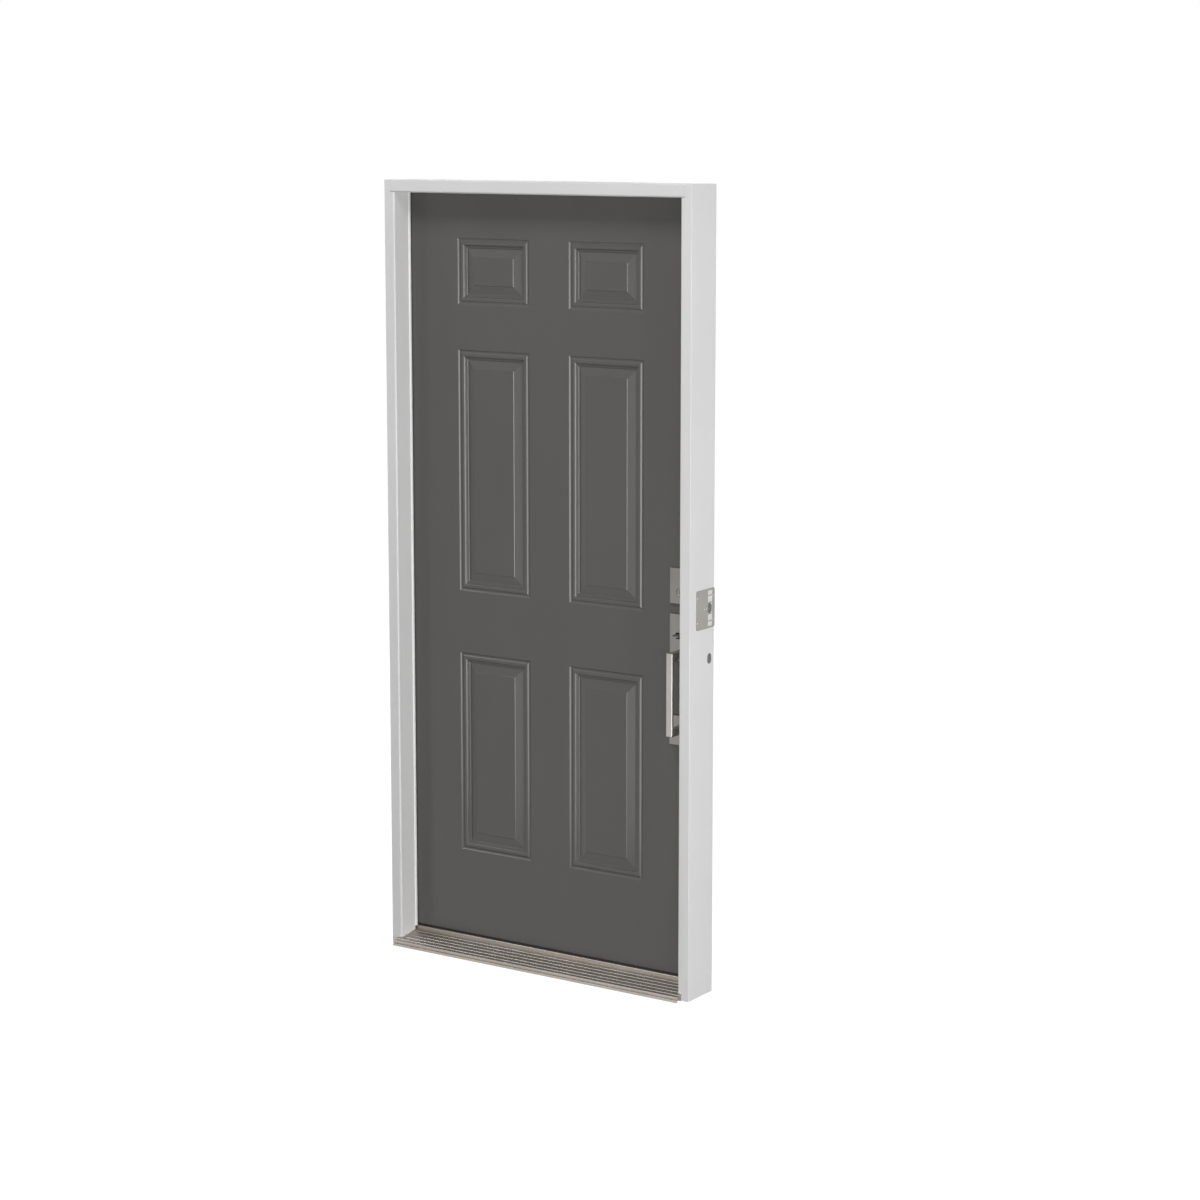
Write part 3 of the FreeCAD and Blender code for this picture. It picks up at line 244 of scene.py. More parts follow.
def white_paint(name, along):
    """White paint over wood whose grain runs along one axis, 0 for X and 2 for Z."""
    finish = Finish(name)
    stretch = [GRAIN_SCALE_ACROSS] * 3
    stretch[along] = GRAIN_SCALE_ALONG
    grain = finish.noise(stretch, detail=4.0, roughness=0.6)
    stipple = finish.noise([STIPPLE_SCALE] * 3, detail=2.0)
    clouds = finish.noise([TONE_SCALE] * 3, detail=2.0)
    paint = finish.blend(finish.spread(clouds, *NOISE_RANGE, *WHOLE_RANGE), *WHITE_TONES)
    # Painted shade: the walls of the bored pockets are darkened to grey in place of the shade inside
    # them.
    colour = finish.blend(pocket_shade_mask(finish), paint, grey(POCKET_SHADE_GREY))
    rough = finish.spread(grain, 0.25, 0.75, 0.42, 0.52)
    relief = grain * 0.6 + stipple * 0.4
    return finish.surface(
        Base_Color=colour, Roughness=rough, Normal=finish.bump(relief, WHITE_RELIEF),
        Specular_IOR_Level=0.4)


jamb_paint = white_paint("white_paint_upright", along=2)
head_paint = white_paint("white_paint_across", along=0)
print("made", jamb_paint.name, "and", head_paint.name)

# %% [markdown]
# ## The leaf's steel skins
#
# The skins are galvanised sheet with a baked grey-brown coat. It has a satin sheen, and the
# sprayed coat leaves the finest orange peel, about 2 mm from crest to crest and a few hundredths
# deep.

# %% Grey paint on steel
GREY_TONES = ((0.0830, 0.0802, 0.0762, 1.0), (0.0885, 0.0856, 0.0815, 1.0))
GREY_ROUGHNESS = (0.20, 0.24)
PEEL_SCALE = 480.0
PEEL_RELIEF = 0.00003


def baked_paint():
    finish = Finish("grey_paint")
    peel = finish.noise([PEEL_SCALE] * 3, detail=2.0, roughness=0.4)
    clouds = finish.noise((5.0, 5.0, 2.0), detail=3.0)
    colour = finish.blend(finish.spread(clouds, *NOISE_RANGE, *WHOLE_RANGE), *GREY_TONES)
    rough = finish.spread(clouds, *NOISE_RANGE, *GREY_ROUGHNESS)
    return finish.surface(
        Base_Color=colour, Roughness=rough, Normal=finish.bump(peel, PEEL_RELIEF),
        Specular_IOR_Level=0.45)


door_paint = baked_paint()
print("made", door_paint.name)

# %% [markdown]
# ## Metals
#
# Five metals show here: the mill-finish extrusion of the sill, the satin nickel of the lock, the
# same on its pull bar but paler, which is a painted highlight for the light on the bar, the stamped
# plate on the outside of the jamb, and the plated hinges. They differ in tone and in the direction
# of their fine lines. One function makes them all from a colour, a direction, the pitch of the
# lines and how rough they are.

# %% Brushed and drawn metals
LINE_RUN_SCALE = 4.0
LINE_RELIEF = 0.00002
STAIN_SCALE = 14.0
METAL_DARKEST = 0.86
METAL_BRIGHTEST = 1.12


def drawn_metal(name, colour, along, line_pitch, rough):
    """A metal with fine lines along one axis, as an extruder's die or a brush leaves."""
    finish = Finish(name)
    lines = [1.0 / line_pitch] * 3
    lines[along] = LINE_RUN_SCALE
    streaks = finish.noise(lines, detail=5.0, roughness=0.65)
    stains = finish.noise([STAIN_SCALE] * 3, detail=3.0)
    shade = finish.spread(streaks * 0.65 + stains * 0.35, *NOISE_RANGE, *WHOLE_RANGE)
    tone = finish.blend(shade, scaled(colour, METAL_DARKEST), scaled(colour, METAL_BRIGHTEST))
    return finish.surface(
        Base_Color=tone, Metallic=1.0,
        Roughness=finish.spread(streaks, 0.25, 0.75, rough - 0.06, rough + 0.08),
        Normal=finish.bump(streaks, LINE_RELIEF))


# Colour, the axis that the lines follow, their pitch in metres, and how rough.
sill_metal = drawn_metal("sill_metal", (0.374, 0.343, 0.311), 0, 0.0011, 0.42)
hardware = drawn_metal("satin_nickel", (0.207, 0.197, 0.182), 2, 0.0006, 0.34)
# The pull bar's satin nickel is painted paler than the lock's. It is a lit copy, for the highlight on
# the bar.
lit_grip_nickel = drawn_metal("satin_nickel_grip", (0.34, 0.324, 0.300), 2, 0.0006, 0.36)
plate_steel = drawn_metal("plain_steel", (0.302, 0.295, 0.274), 2, 0.0007, 0.50)
hinge_steel = drawn_metal("hinge_steel", (0.32, 0.311, 0.293), 2, 0.0007, 0.44)
print("made", [m.name for m in (sill_metal, hardware, lit_grip_nickel, plate_steel, hinge_steel)])

# %% [markdown]
# ## Rubber, vinyl and foam
#
# The weatherstrip is soft foam in a white film, and the sweep under the leaf is black vinyl.
# Inside the leaf is rigid foam, which shows only down the lock's bores. The base under the sill
# is a moulded wood-plastic board.

# %% Soft and moulded finishes
FILM_DARKEST = 0.95
FILM_BRIGHTEST = 1.03
FOAM_TONES = ((0.62, 0.50, 0.26, 1.0), (0.78, 0.68, 0.42, 1.0))
FOAM_CELL_SCALE = 900.0


def film_finish(name, colour, rough, pitch, relief):
    """A skinned or moulded surface with a faint all-over texture."""
    finish = Finish(name)
    texture = finish.noise([1 / pitch] * 3, detail=3.0)
    shade = finish.spread(texture, *NOISE_RANGE, *WHOLE_RANGE)
    return finish.surface(
        Base_Color=finish.blend(shade, scaled(colour, FILM_DARKEST), scaled(colour, FILM_BRIGHTEST)),
        Roughness=finish.spread(texture, *NOISE_RANGE, rough, rough + 0.1),
        Normal=finish.bump(texture, relief), Specular_IOR_Level=0.35)


def rigid_foam():
    finish = Finish("foam")
    cells = finish.node("ShaderNodeTexVoronoi", {}, {
        "Vector": finish.place(), "Scale": FOAM_CELL_SCALE})
    colour = finish.blend(finish.spread(cells, 0.0, 0.8, *WHOLE_RANGE), *FOAM_TONES)
    return finish.surface(Base_Color=colour, Roughness=0.85, Normal=finish.bump(cells, 0.0004))


# Colour, how rough, and the pitch and the relief of the texture in metres.
seal_film = film_finish("white_seal", (0.86, 0.86, 0.855), 0.5, 0.0016, 0.00004)
black_vinyl = film_finish("black_vinyl", (0.008, 0.008, 0.008), 0.45, 0.0012, 0.00005)
sill_board = film_finish("sill_composite", (0.56, 0.55, 0.53), 0.6, 0.0020, 0.00008)
foam = rigid_foam()
print("made", [m.name for m in (seal_film, black_vinyl, sill_board, foam)])

# %% [markdown]
# ## Bare wood in the leaf's edges
#
# The stiles and rails between the skins are laminated pine. Its grain runs up the stiles and
# across the rails: noise stretched along the board, read through a ramp of three wood tones.

# %% Edge wood
WOOD_TONES = (
    (0.30, (0.36, 0.20, 0.09, 1.0)),
    (0.50, (0.55, 0.36, 0.19, 1.0)),
    (0.72, (0.66, 0.47, 0.28, 1.0)),
)
WOOD_SCALE_ACROSS = 160.0
WOOD_SCALE_ALONG = 3.0
WOOD_RELIEF = 0.00015


def edge_wood(name, along):
    finish = Finish(name)
    stretch = [WOOD_SCALE_ACROSS] * 3
    stretch[along] = WOOD_SCALE_ALONG
    grain = finish.noise(stretch, detail=6.0, roughness=0.6)
    colour = finish.node("ShaderNodeValToRGB", {"stops": WOOD_TONES}, {"Fac": grain})
    return finish.surface(Base_Color=colour, Roughness=0.62, Normal=finish.bump(grain, WOOD_RELIEF))


stile_wood = edge_wood("edge_wood_upright", along=2)
rail_wood = edge_wood("edge_wood_across", along=0)
print("made", stile_wood.name, "and", rail_wood.name)

# %% [markdown]
# ## Each solid gets its finish
#
# A solid keeps its mesh and only its material slots change. The record names a slot for each
# node, and this table says which finish stands for which nodes.

# %% Finishes on the solids
HINGE_PLACES = ("bottom", "middle", "top")
FINISHES = {
    jamb_paint: ["hinge_jamb", "strike_jamb"],
    head_paint: ["head_jamb"],
    seal_film: ["weatherstrip_hinge_side", "weatherstrip_strike_side", "weatherstrip_head"],
    sill_metal: ["sill_deck", "sill_cap"],
    sill_board: ["sill_base"],
    plate_steel: ["security_plate", "deadbolt_strike", "latch_strike", "deadbolt", "latch_bolt"],
    door_paint: ["outer_skin", "inner_skin"],
    foam: ["foam_core"],
    stile_wood: ["hinge_stile", "lock_stile"],
    rail_wood: ["top_rail", "bottom_rail"],
    black_vinyl: ["door_sweep"],
    hardware: [
        "deadbolt_plate", "key_cylinder", "deadbolt_case", "latch_case", "handle_upper_plate",
        "handle_lower_plate", "thumb_piece", "deadbolt_rose", "thumb_turn", "lever_rose",
        "inside_lever"],
    lit_grip_nickel: ["grip_handle"],
    hinge_steel: [
        f"{kind}_{place}"
        for kind in ("jamb_hinge_leaf", "hinge_pin", "door_hinge_leaf") for place in HINGE_PLACES],
}
for material, names in FINISHES.items():
    for name in names:
        slots = nodes[name].data.materials
        slots.clear()
        slots.append(material)
finished = {name for names in FINISHES.values() for name in names}
print("finished solids:", len(finished), "left over:", sorted(set(nodes) - finished))

# %% [markdown]
# ## Shapes that follow a rule
#
# Two shapes on this door are better described than drawn: a moulding is one profile that runs
# round a panel, and the screws are one head set on many points. Geometry Nodes suit both. A
# Recipe is such a tree with named inputs. It ends in plain geometry with a finish. Its make()
# runs the tree on a mesh and keeps what comes out as a plain mesh.

# %% Helpers for shapes
class Recipe(Network):
    """One Geometry Nodes tree with named inputs."""

    def __init__(self, name, inputs):
        super().__init__(bpy.data.node_groups.new(name, "GeometryNodeTree"))
        self.sockets = {}
        self.tree.interface.new_socket("Geometry", in_out="OUTPUT", socket_type="NodeSocketGeometry")
        for label, kind in {"Geometry": "Geometry", **inputs, "Finish": "Material"}.items():
            self.sockets[label] = self.tree.interface.new_socket(
                label, in_out="INPUT", socket_type="NodeSocket" + kind)
        self.given = self.node("NodeGroupInput")

    def named(self, label):
        return self.given.beside(label)

    def attribute(self, name, kind):
        return self.node("GeometryNodeInputNamedAttribute", {"data_type": kind}, {"Name": name})

    def close(self, geometry):
        """Ends the tree: plain geometry with the finish on it."""
        plain = self.node("GeometryNodeRealizeInstances", {}, {"Geometry": geometry})
        coated = self.node("GeometryNodeSetMaterial", {}, {
            "Geometry": plain, "Material": self.named("Finish")})
        self.node("NodeGroupOutput", {}, {0: coated})

    def make(self, mesh, values):
        """Runs the tree on a mesh and gives back a plain mesh with one finish."""
        source = bpy.data.objects.new("recipe_source", mesh)
        scene.collection.objects.link(source)
        modifier = source.modifiers.new("recipe", "NODES")
        modifier.node_group = self.tree
        for label, value in values.items():
            modifier[self.sockets[label].identifier] = value
        seen = source.evaluated_get(bpy.context.evaluated_depsgraph_get())
        result = bpy.data.meshes.new_from_object(seen)
        result.materials.clear()
        result.materials.append(values["Finish"])
        result.polygons.foreach_set("material_index", [0] * len(result.polygons))
        bpy.data.objects.remove(source)
        return result


def mesh_from(name, points, edges=(), faces=()):
    mesh = bpy.data.meshes.new(name)
    mesh.from_pydata(points, edges, faces)
    return mesh


def add_piece(name, mesh, body):
    """A finished mesh becomes a piece of the door that rides on one of its bodies."""
    mesh.name = name
    piece = bpy.data.objects.new(name, mesh)
    scene.collection.objects.link(piece)
    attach(piece, body)
    return piece


def circle(radius, sides):
    return [
        (radius * math.cos(2 * math.pi * i / sides), radius * math.sin(2 * math.pi * i / sides))
        for i in range(sides)]


print("shape helpers ready")

# %% [markdown]
# ## The pressed skins
#
# Each face of the leaf is one galvanised sheet, 0.6 mm thick. A press forms six raised panels in
# it in a single stroke, so every fold has a small radius, and the folds catch the light as thin
# bright lines. The CAD skins have the same profile with sharp folds.
#
# The moulding could be swept with a modifier for each panel, or modelled as thirty loops by hand.
# Here the sheet is a drawing of lines. The tree fills between them, and runs the profile round
# the six panel lines. A corner of a swept ring is cut at 45 degrees, so the profile is made wider
# there by the square root of two, and its depth is brought back afterwards. Mitres are marked
# sharp, because the press leaves a crisp line at them.

# %% The moulding's profile
FOLD_LEAD = 0.0030
# How far in from the panel's edge, how deep, and how much of the corner its fold takes.
MOULDING = (
    (0.0000, 0.0000, 0.0012),
    (0.0035, 0.0030, 0.0012),
    (0.0070, 0.0034, 0.0011),
    (0.0110, 0.0005, 0.0010),
    (0.0190, 0.0005, 0.0042),
    (0.0210, 0.0060, 0.0008),
    (0.0255, 0.0060, 0.0007),
    (0.0265, 0.0080, 0.0009),
    (0.0290, 0.0080, 0.0010),
    (0.0505, 0.0014, 0.0006),
    (0.0515, 0.0000, 0.0006),
)
FOLD_STEPS = 5
MITRE_STRETCH = math.sqrt(2)
# An edge that runs less than this across or up counts as level or upright, and not as a mitre.
STRAIGHT = 1e-5


def eased(corners, steps):
    """A line through corners, each cut back by its own amount and rounded."""
    points = [Vector(corners[0][:2])]
    for before, corner, after in zip(corners, corners[1:], corners[2:]):
        middle = Vector(corner[:2])
        start = middle + (Vector(before[:2]) - middle).normalized() * corner[2]
        end = middle + (Vector(after[:2]) - middle).normalized() * corner[2]
        for step in range(steps + 1):
            along = step / steps
            points.append(start.lerp(middle, along).lerp(middle.lerp(end, along), along))
    points.append(Vector(corners[-1][:2]))
    return points


def moulding_profile():
    """The profile with a flat lead before its first fold and after its last."""
    end = MOULDING[-1][0]
    corners = [(-FOLD_LEAD, 0.0), *MOULDING, (end + FOLD_LEAD, 0.0)]
    return [(inset + FOLD_LEAD, depth) for inset, depth in eased(corners, FOLD_STEPS)]


profile = moulding_profile()
MOULDING_WIDTH = profile[-1][0]
print("profile points:", len(profile), "width", round(MOULDING_WIDTH, 4), "m")

# %% The tree that fills and sweeps
def sheet_recipe():
    recipe = Recipe("pressed_sheet", {"Profile": "Object", "Merge": "Float"})
    lines = recipe.named("Geometry")
    every_line = recipe.node("GeometryNodeMeshToCurve", {}, {"Mesh": lines})
    flats = recipe.node("GeometryNodeFillCurve", {"mode": "TRIANGLES"}, {"Curve": every_line})
    routes = recipe.node("GeometryNodeMeshToCurve", {}, {
        "Mesh": lines, "Selection": recipe.attribute("panel_line", "BOOLEAN")})
    upright = recipe.node("GeometryNodeSetCurveNormal", {"mode": "Z_UP"}, {"Curve": routes})
    drawn = recipe.node("GeometryNodeObjectInfo", {}, {"Object": recipe.named("Profile")}, "Geometry")
    section = recipe.node("GeometryNodeMeshToCurve", {}, {"Mesh": drawn})
    rings = recipe.node("GeometryNodeCurveToMesh", {}, {
        "Curve": upright, "Profile Curve": section, "Scale": MITRE_STRETCH})
    true_depth = recipe.node("ShaderNodeVectorMath", {"operation": "MULTIPLY"}, {
        0: recipe.node("GeometryNodeInputPosition"), 1: (1.0, 1.0, 1 / MITRE_STRETCH)})
    rings = recipe.node("GeometryNodeSetPosition", {}, {"Geometry": rings, "Position": true_depth})
    sheet = recipe.node("GeometryNodeJoinGeometry", {}, {"Geometry": [flats, rings]})
    sheet = recipe.node("GeometryNodeMergeByDistance", {}, {
        "Geometry": sheet, "Distance": recipe.named("Merge")})
    ends = recipe.node("GeometryNodeInputMeshEdgeVertices", output="Position 1")
    run = recipe.node("ShaderNodeVectorMath", {"operation": "SUBTRACT"}, {
        0: ends, 1: ends.beside("Position 2")})
    across = recipe.node("ShaderNodeSeparateXYZ", {}, {"Vector": run})
    slanting = (abs(across) > STRAIGHT) * (abs(across.beside("Y")) > STRAIGHT)
    on_edges = {"data_type": "BOOLEAN", "domain": "EDGE"}
    recipe.close(recipe.node("GeometryNodeStoreNamedAttribute", on_edges, {
        "Geometry": sheet, "Name": "sharp_edge", "Value": slanting}))
    return recipe


pressed_sheet = sheet_recipe()
print("tree", pressed_sheet.tree.name, "has", len(pressed_sheet.tree.nodes), "nodes")

# %% The drawing of a skin
PANEL_COLUMN = 0.17685
PANEL_WIDTH = 0.2297
PANEL_FOOT = 0.2299
# From the bottom up: how high the panels of a row are, and how high the rail above them is.
PANEL_ROWS = ((0.5428, 0.1668), (0.6441, 0.1181), (0.1746, 0.0))
BORE_RADIUS = 0.0270
BORE_SIDES = 48
EDGE_FOLD = 0.0012
EDGE_RETURN = 0.0070
LOCK_EDGE_BEVEL = 0.0023

outer_low, outer_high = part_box("outer_skin")
inner_low, inner_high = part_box("inner_skin")
LEAF_FOOT = outer_low[2]
LEAF_TOP = outer_high[2]
HINGE_EDGE = inner_low[0]
LOCK_EDGE = inner_high[0]
LEAF_DEPTH = inner_high[1] - outer_low[1]


def middle_of(node, axis):
    low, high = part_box(node)
    return (low[axis] + high[axis]) / 2


LOCK_X = middle_of("key_cylinder", 0)
BORE_HEIGHTS = (middle_of("deadbolt_case", 2), middle_of("latch_case", 2))


def rectangle(middle, width, low, high, grow):
    """The corners of an upright rectangle, grown or shrunk on every side."""
    left = middle - width / 2 - grow
    right = middle + width / 2 + grow
    return [(left, low - grow), (right, low - grow), (right, high + grow), (left, high + grow)]


def hinge_notches(facing):
    """Where the hinge leaves cut the sheet: how far in, from how low to how high."""
    if facing > 0:
        return []
    boxes = [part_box("door_hinge_leaf_" + place) for place in HINGE_PLACES]
    return [(high[0], low[2], high[2]) for low, high in boxes]


def sheet_edges(facing):
    """The places across the leaf where the hinge edge and the lock edge start to fold."""
    bevel = LOCK_EDGE_BEVEL if facing > 0 else 0.0
    return HINGE_EDGE + EDGE_FOLD, LOCK_EDGE - bevel - EDGE_FOLD


def sheet_drawing(facing):
    """Closed lines in a flat drawing. facing is 1 for the outdoor skin and -1 for the indoor one."""
    hinge_side, lock_side = sheet_edges(facing)
    outline = [(lock_side, LEAF_FOOT), (lock_side, LEAF_TOP), (hinge_side, LEAF_TOP)]
    for reach, low, high in reversed(hinge_notches(facing)):
        outline += [(hinge_side, high), (reach, high), (reach, low), (hinge_side, low)]
    outline.append((hinge_side, LEAF_FOOT))
    loops = [(outline, False)]
    for height in BORE_HEIGHTS:
        bore = [(LOCK_X + across, height + up) for across, up in circle(BORE_RADIUS, BORE_SIDES)]
        loops.append((bore, False))
    foot = LEAF_FOOT + PANEL_FOOT
    for panel_height, rail in PANEL_ROWS:
        for column in (-PANEL_COLUMN, PANEL_COLUMN):
            edge = (column, PANEL_WIDTH, foot, foot + panel_height)
            loops.append((rectangle(*edge, FOLD_LEAD), True))
            loops.append((rectangle(*edge, FOLD_LEAD - MOULDING_WIDTH), False))
        foot += panel_height + rail
    # A swept ring lies inside a line that runs clockwise. Seen from indoors the lines are mirrored.
    return [
        ([(facing * across, up) for across, up in loop[::-facing]], is_panel)
        for loop, is_panel in loops]


def drawing_mesh(loops):
    points, edges, marks = [], [], []
    for loop, is_panel in loops:
        first = len(points)
        count = len(loop)
        points += [(across, up, 0.0) for across, up in loop]
        edges += [(first + i, first + (i + 1) % count) for i in range(count)]
        marks += [is_panel] * count
    mesh = mesh_from("sheet_drawing", points, edges)
    mesh.attributes.new("panel_line", "BOOLEAN", "EDGE").data.foreach_set("value", marks)
    return mesh


drawings = {facing: sheet_drawing(facing) for facing in (1, -1)}
print("closed lines in each drawing:", [len(loops) for loops in drawings.values()])

# %% Skins from their drawings
SKIN_THICKNESS = 0.0006
MERGE_DISTANCE = 0.00001

profile_mesh = mesh_from(
    "moulding_profile", [(inset, depth, 0.0) for inset, depth in profile],
    [(i, i + 1) for i in range(len(profile) - 1)])
profile_line = bpy.data.objects.new("moulding_profile", profile_mesh)
scene.collection.objects.link(profile_line)


def edge_folds(facing):
    """The sheet's returns round the leaf's two long edges: side, section, lower end, upper end."""
    hinge_side, lock_side = sheet_edges(facing)
    slope = LOCK_EDGE_BEVEL / LEAF_DEPTH * facing
    strips = []
    for start, away, lean in ((hinge_side, -1, 0.0), (lock_side, 1, slope)):
        end = (EDGE_FOLD + lean * EDGE_RETURN, EDGE_RETURN)
        corners = [(0.0, 0.0), (EDGE_FOLD, 0.0, EDGE_FOLD), end]
        section = [(facing * (start + away * out), -down) for out, down in eased(corners, FOLD_STEPS)]
        cuts = [LEAF_FOOT]
        if away < 0:
            for _, low, high in hinge_notches(facing):
                cuts += [low, high]
        cuts.append(LEAF_TOP)
        for low, high in zip(cuts[::2], cuts[1::2]):
            strips.append((away * facing, section, low, high))
    return strips


def pressed_skin(name, facing, face_y, stands_for):
    sheet = pressed_sheet.make(drawing_mesh(drawings[facing]), {
        "Profile": profile_line, "Merge": MERGE_DISTANCE, "Finish": door_paint})
    shape = bmesh.new()
    shape.from_mesh(sheet)
    for side, section, low, high in edge_folds(facing):
        rows = [[shape.verts.new((across, up, down)) for across, down in section] for up in (low, high)]
        for i in range(len(section) - 1):
            corners = [rows[0][i], rows[0][i + 1], rows[1][i + 1], rows[1][i]]
            shape.faces.new(corners if side > 0 else corners[::-1])
    bmesh.ops.remove_doubles(shape, verts=shape.verts, dist=MERGE_DISTANCE)
    for face in shape.faces:
        face.smooth = True
    for edge in shape.edges:
        if edge.is_boundary:
            edge.smooth = False
    standing = Matrix(((facing, 0, 0, 0), (0, 0, -facing, face_y), (0, 1, 0, 0), (0, 0, 0, 1)))
    shape.transform(standing)
    shape.to_mesh(sheet)
    loose = sum(edge.is_boundary for edge in shape.edges)
    shape.free()
    piece = add_piece(name, sheet, "door_leaf")
    gauge = piece.modifiers.new("gauge", "SOLIDIFY")
    gauge.thickness = SKIN_THICKNESS
    gauge.offset = -1.0
    soft_folds = piece.modifiers.new("soft_folds", "WEIGHTED_NORMAL")
    soft_folds.keep_sharp = True
    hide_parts(stands_for)
    print(name, "faces:", len(sheet.polygons), "open edges:", loose)


pressed_skin("outer_pressed_skin", 1, outer_low[1], "outer_skin")
pressed_skin("inner_pressed_skin", -1, inner_high[1], "inner_skin")
bpy.data.objects.remove(profile_line)

# %% [markdown]
# ## Screws
#
# Four countersunk screws hold each leaf of a hinge, and two hold each faceplate and each strike.
# They are all one flat head with a cross recess, so the head is modelled once. Every place is a
# point that knows which way its head faces. The tree sets a head on each point and gives it a
# turn of its own, because nobody lines screws up.

# %% One screw head
HEAD_RADIUS = 0.0042
HEAD_EDGE = 0.0005
HEAD_RISE = 0.0004
HEAD_SINK = 0.0005
HEAD_SIDES = 24
RECESS_REACH = 0.0021
RECESS_HALF_WIDTH = 0.0005
RECESS_DEPTH = 0.00035


def add_loop(shape, outline, height):
    return [shape.verts.new((across, up, height)) for across, up in outline]


def close_wall(shape, lower, upper):
    """Quads between two loops of the same count."""
    count = len(lower)
    for i in range(count):
        shape.faces.new([lower[i], lower[(i + 1) % count], upper[(i + 1) % count], upper[i]])


def cross_outline():
    points = []
    arm = [(RECESS_REACH, -RECESS_HALF_WIDTH), (RECESS_REACH, RECESS_HALF_WIDTH),
           (RECESS_HALF_WIDTH, RECESS_HALF_WIDTH)]
    for _ in range(4):
        points += arm
        arm = [(-up, across) for across, up in arm]
    return points


def screw_head():
    shape = bmesh.new()
    skirt = add_loop(shape, circle(HEAD_RADIUS, HEAD_SIDES), -HEAD_SINK)
    brim = add_loop(shape, circle(HEAD_RADIUS, HEAD_SIDES), 0.0)
    rim = add_loop(shape, circle(HEAD_RADIUS - HEAD_EDGE, HEAD_SIDES), HEAD_RISE)
    mouth = add_loop(shape, cross_outline(), HEAD_RISE)
    base = add_loop(shape, cross_outline(), HEAD_RISE - RECESS_DEPTH)
    close_wall(shape, skirt, brim)
    close_wall(shape, brim, rim)
    close_wall(shape, mouth, base)
    shape.faces.new(skirt)
    shape.faces.new(base)
    top_edges = [
        shape.edges.get((loop[i], loop[(i + 1) % len(loop)]))
        for loop in (rim, mouth) for i in range(len(loop))]
    bmesh.ops.triangle_fill(shape, edges=top_edges, use_beauty=True, normal=(0.0, 0.0, 1.0))
    bmesh.ops.recalc_face_normals(shape, faces=shape.faces)
    mesh = bpy.data.meshes.new("screw_head")
    shape.to_mesh(mesh)
    shape.free()
    return mesh


head_object = bpy.data.objects.new("screw_head", screw_head())
scene.collection.objects.link(head_object)
print("screw head faces:", len(head_object.data.polygons))

# %% Where the screws sit
# How far above the middle of a hinge leaf, and how far in from its edge.
HINGE_SCREWS = ((0.036, 0.022), (0.012, 0.009), (-0.012, 0.009), (-0.036, 0.022))
FACEPLATE_SCREW = 0.022
STRIKE_SCREW_FROM_END = 0.008


def hinge_screws(kind):
    """Places on the leaves of one side, with the way the heads face."""
    places = []
    # The pin stands midway between the edge of the door and the face of the jamb.
    jamb_face = 2 * middle_of("hinge_pin_" + HINGE_PLACES[0], 0) - HINGE_EDGE
    face, way = (HINGE_EDGE, -1.0) if kind == "door" else (jamb_face, 1.0)
    for name in ("%s_hinge_leaf_%s" % (kind, place) for place in HINGE_PLACES):
        far_edge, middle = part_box(name)[0][1], middle_of(name, 2)
        places += [
            ((face, far_edge + inset, middle + rise), (way, 0.0, 0.0)) for rise, inset in HINGE_SCREWS]
    return places


def faceplate_screws():
    across_edge = Vector((LOCK_EDGE_BEVEL, LEAF_DEPTH, 0.0)).normalized()
    toward = (across_edge[1], -across_edge[0], 0.0)
    centre = (LOCK_EDGE - LOCK_EDGE_BEVEL / 2, (outer_low[1] + inner_high[1]) / 2)
    return [((*centre, height + rise), toward)
            for height in BORE_HEIGHTS for rise in (-FACEPLATE_SCREW, FACEPLATE_SCREW)]


def strike_screws():
    places = []
    jamb_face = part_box("deadbolt_strike")[0][0]
    for name, height in zip(("deadbolt_strike", "latch_strike"), BORE_HEIGHTS):
        half = (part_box(name)[1][2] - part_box(name)[0][2]) / 2 - STRIKE_SCREW_FROM_END
        middle = (outer_low[1] + inner_high[1]) / 2
        places += [((jamb_face, middle, height + rise), (-1.0, 0.0, 0.0)) for rise in (-half, half)]
    return places


leaf_screws = hinge_screws("door") + faceplate_screws()
frame_screws = hinge_screws("jamb") + strike_screws()
print("screws on the leaf:", len(leaf_screws), "on the frame:", len(frame_screws))

# %% The tree that sets the screws
SCREW_SEED = 7


def screws_recipe():
    recipe = Recipe("set_screws", {"Head": "Object", "Seed": "Int"})
    head = recipe.node("GeometryNodeObjectInfo", {}, {"Object": recipe.named("Head")}, "Geometry")
    facing = recipe.node("FunctionNodeAlignRotationToVector", {"axis": "Z"}, {
        "Vector": recipe.attribute("aim", "FLOAT_VECTOR")})
    angle = recipe.node("FunctionNodeRandomValue", {"data_type": "FLOAT"}, {
        2: 0.0, 3: 2 * math.pi, "Seed": recipe.named("Seed")}, 1)
    own_turn = recipe.node("FunctionNodeAxisAngleToRotation", {}, {
        "Axis": (0.0, 0.0, 1.0), "Angle": angle})
    turned = recipe.node("FunctionNodeRotateRotation", {"rotation_space": "LOCAL"}, {
        "Rotation": facing, "Rotate By": own_turn})
    heads = recipe.node("GeometryNodeInstanceOnPoints", {}, {
        "Points": recipe.named("Geometry"), "Instance": head, "Rotation": turned})
    recipe.close(heads)
    return recipe


set_screws = screws_recipe()


def add_screws(name, places, body):
    points = mesh_from(name + "_points", [place for place, _ in places])
    aims = [part for _, toward in places for part in toward]
    points.attributes.new("aim", "FLOAT_VECTOR", "POINT").data.foreach_set("vector", aims)
    heads = set_screws.make(points, {"Head": head_object, "Seed": SCREW_SEED, "Finish": hinge_steel})
    print(name, "faces:", len(heads.polygons))
    add_piece(name, heads, body)


add_screws("leaf_screw_heads", leaf_screws, "door_leaf")
add_screws("frame_screw_heads", frame_screws, "frame")
bpy.data.objects.remove(head_object)

# %% [markdown]
# ## Floor and daylight
#
# The object stands in a white studio. The world is a faint pale light on the object, and plain
# white to the camera and in reflections. The floor is white to the camera too, but mixed with a
# plain grey surface, so that a soft shadow stays under the door.

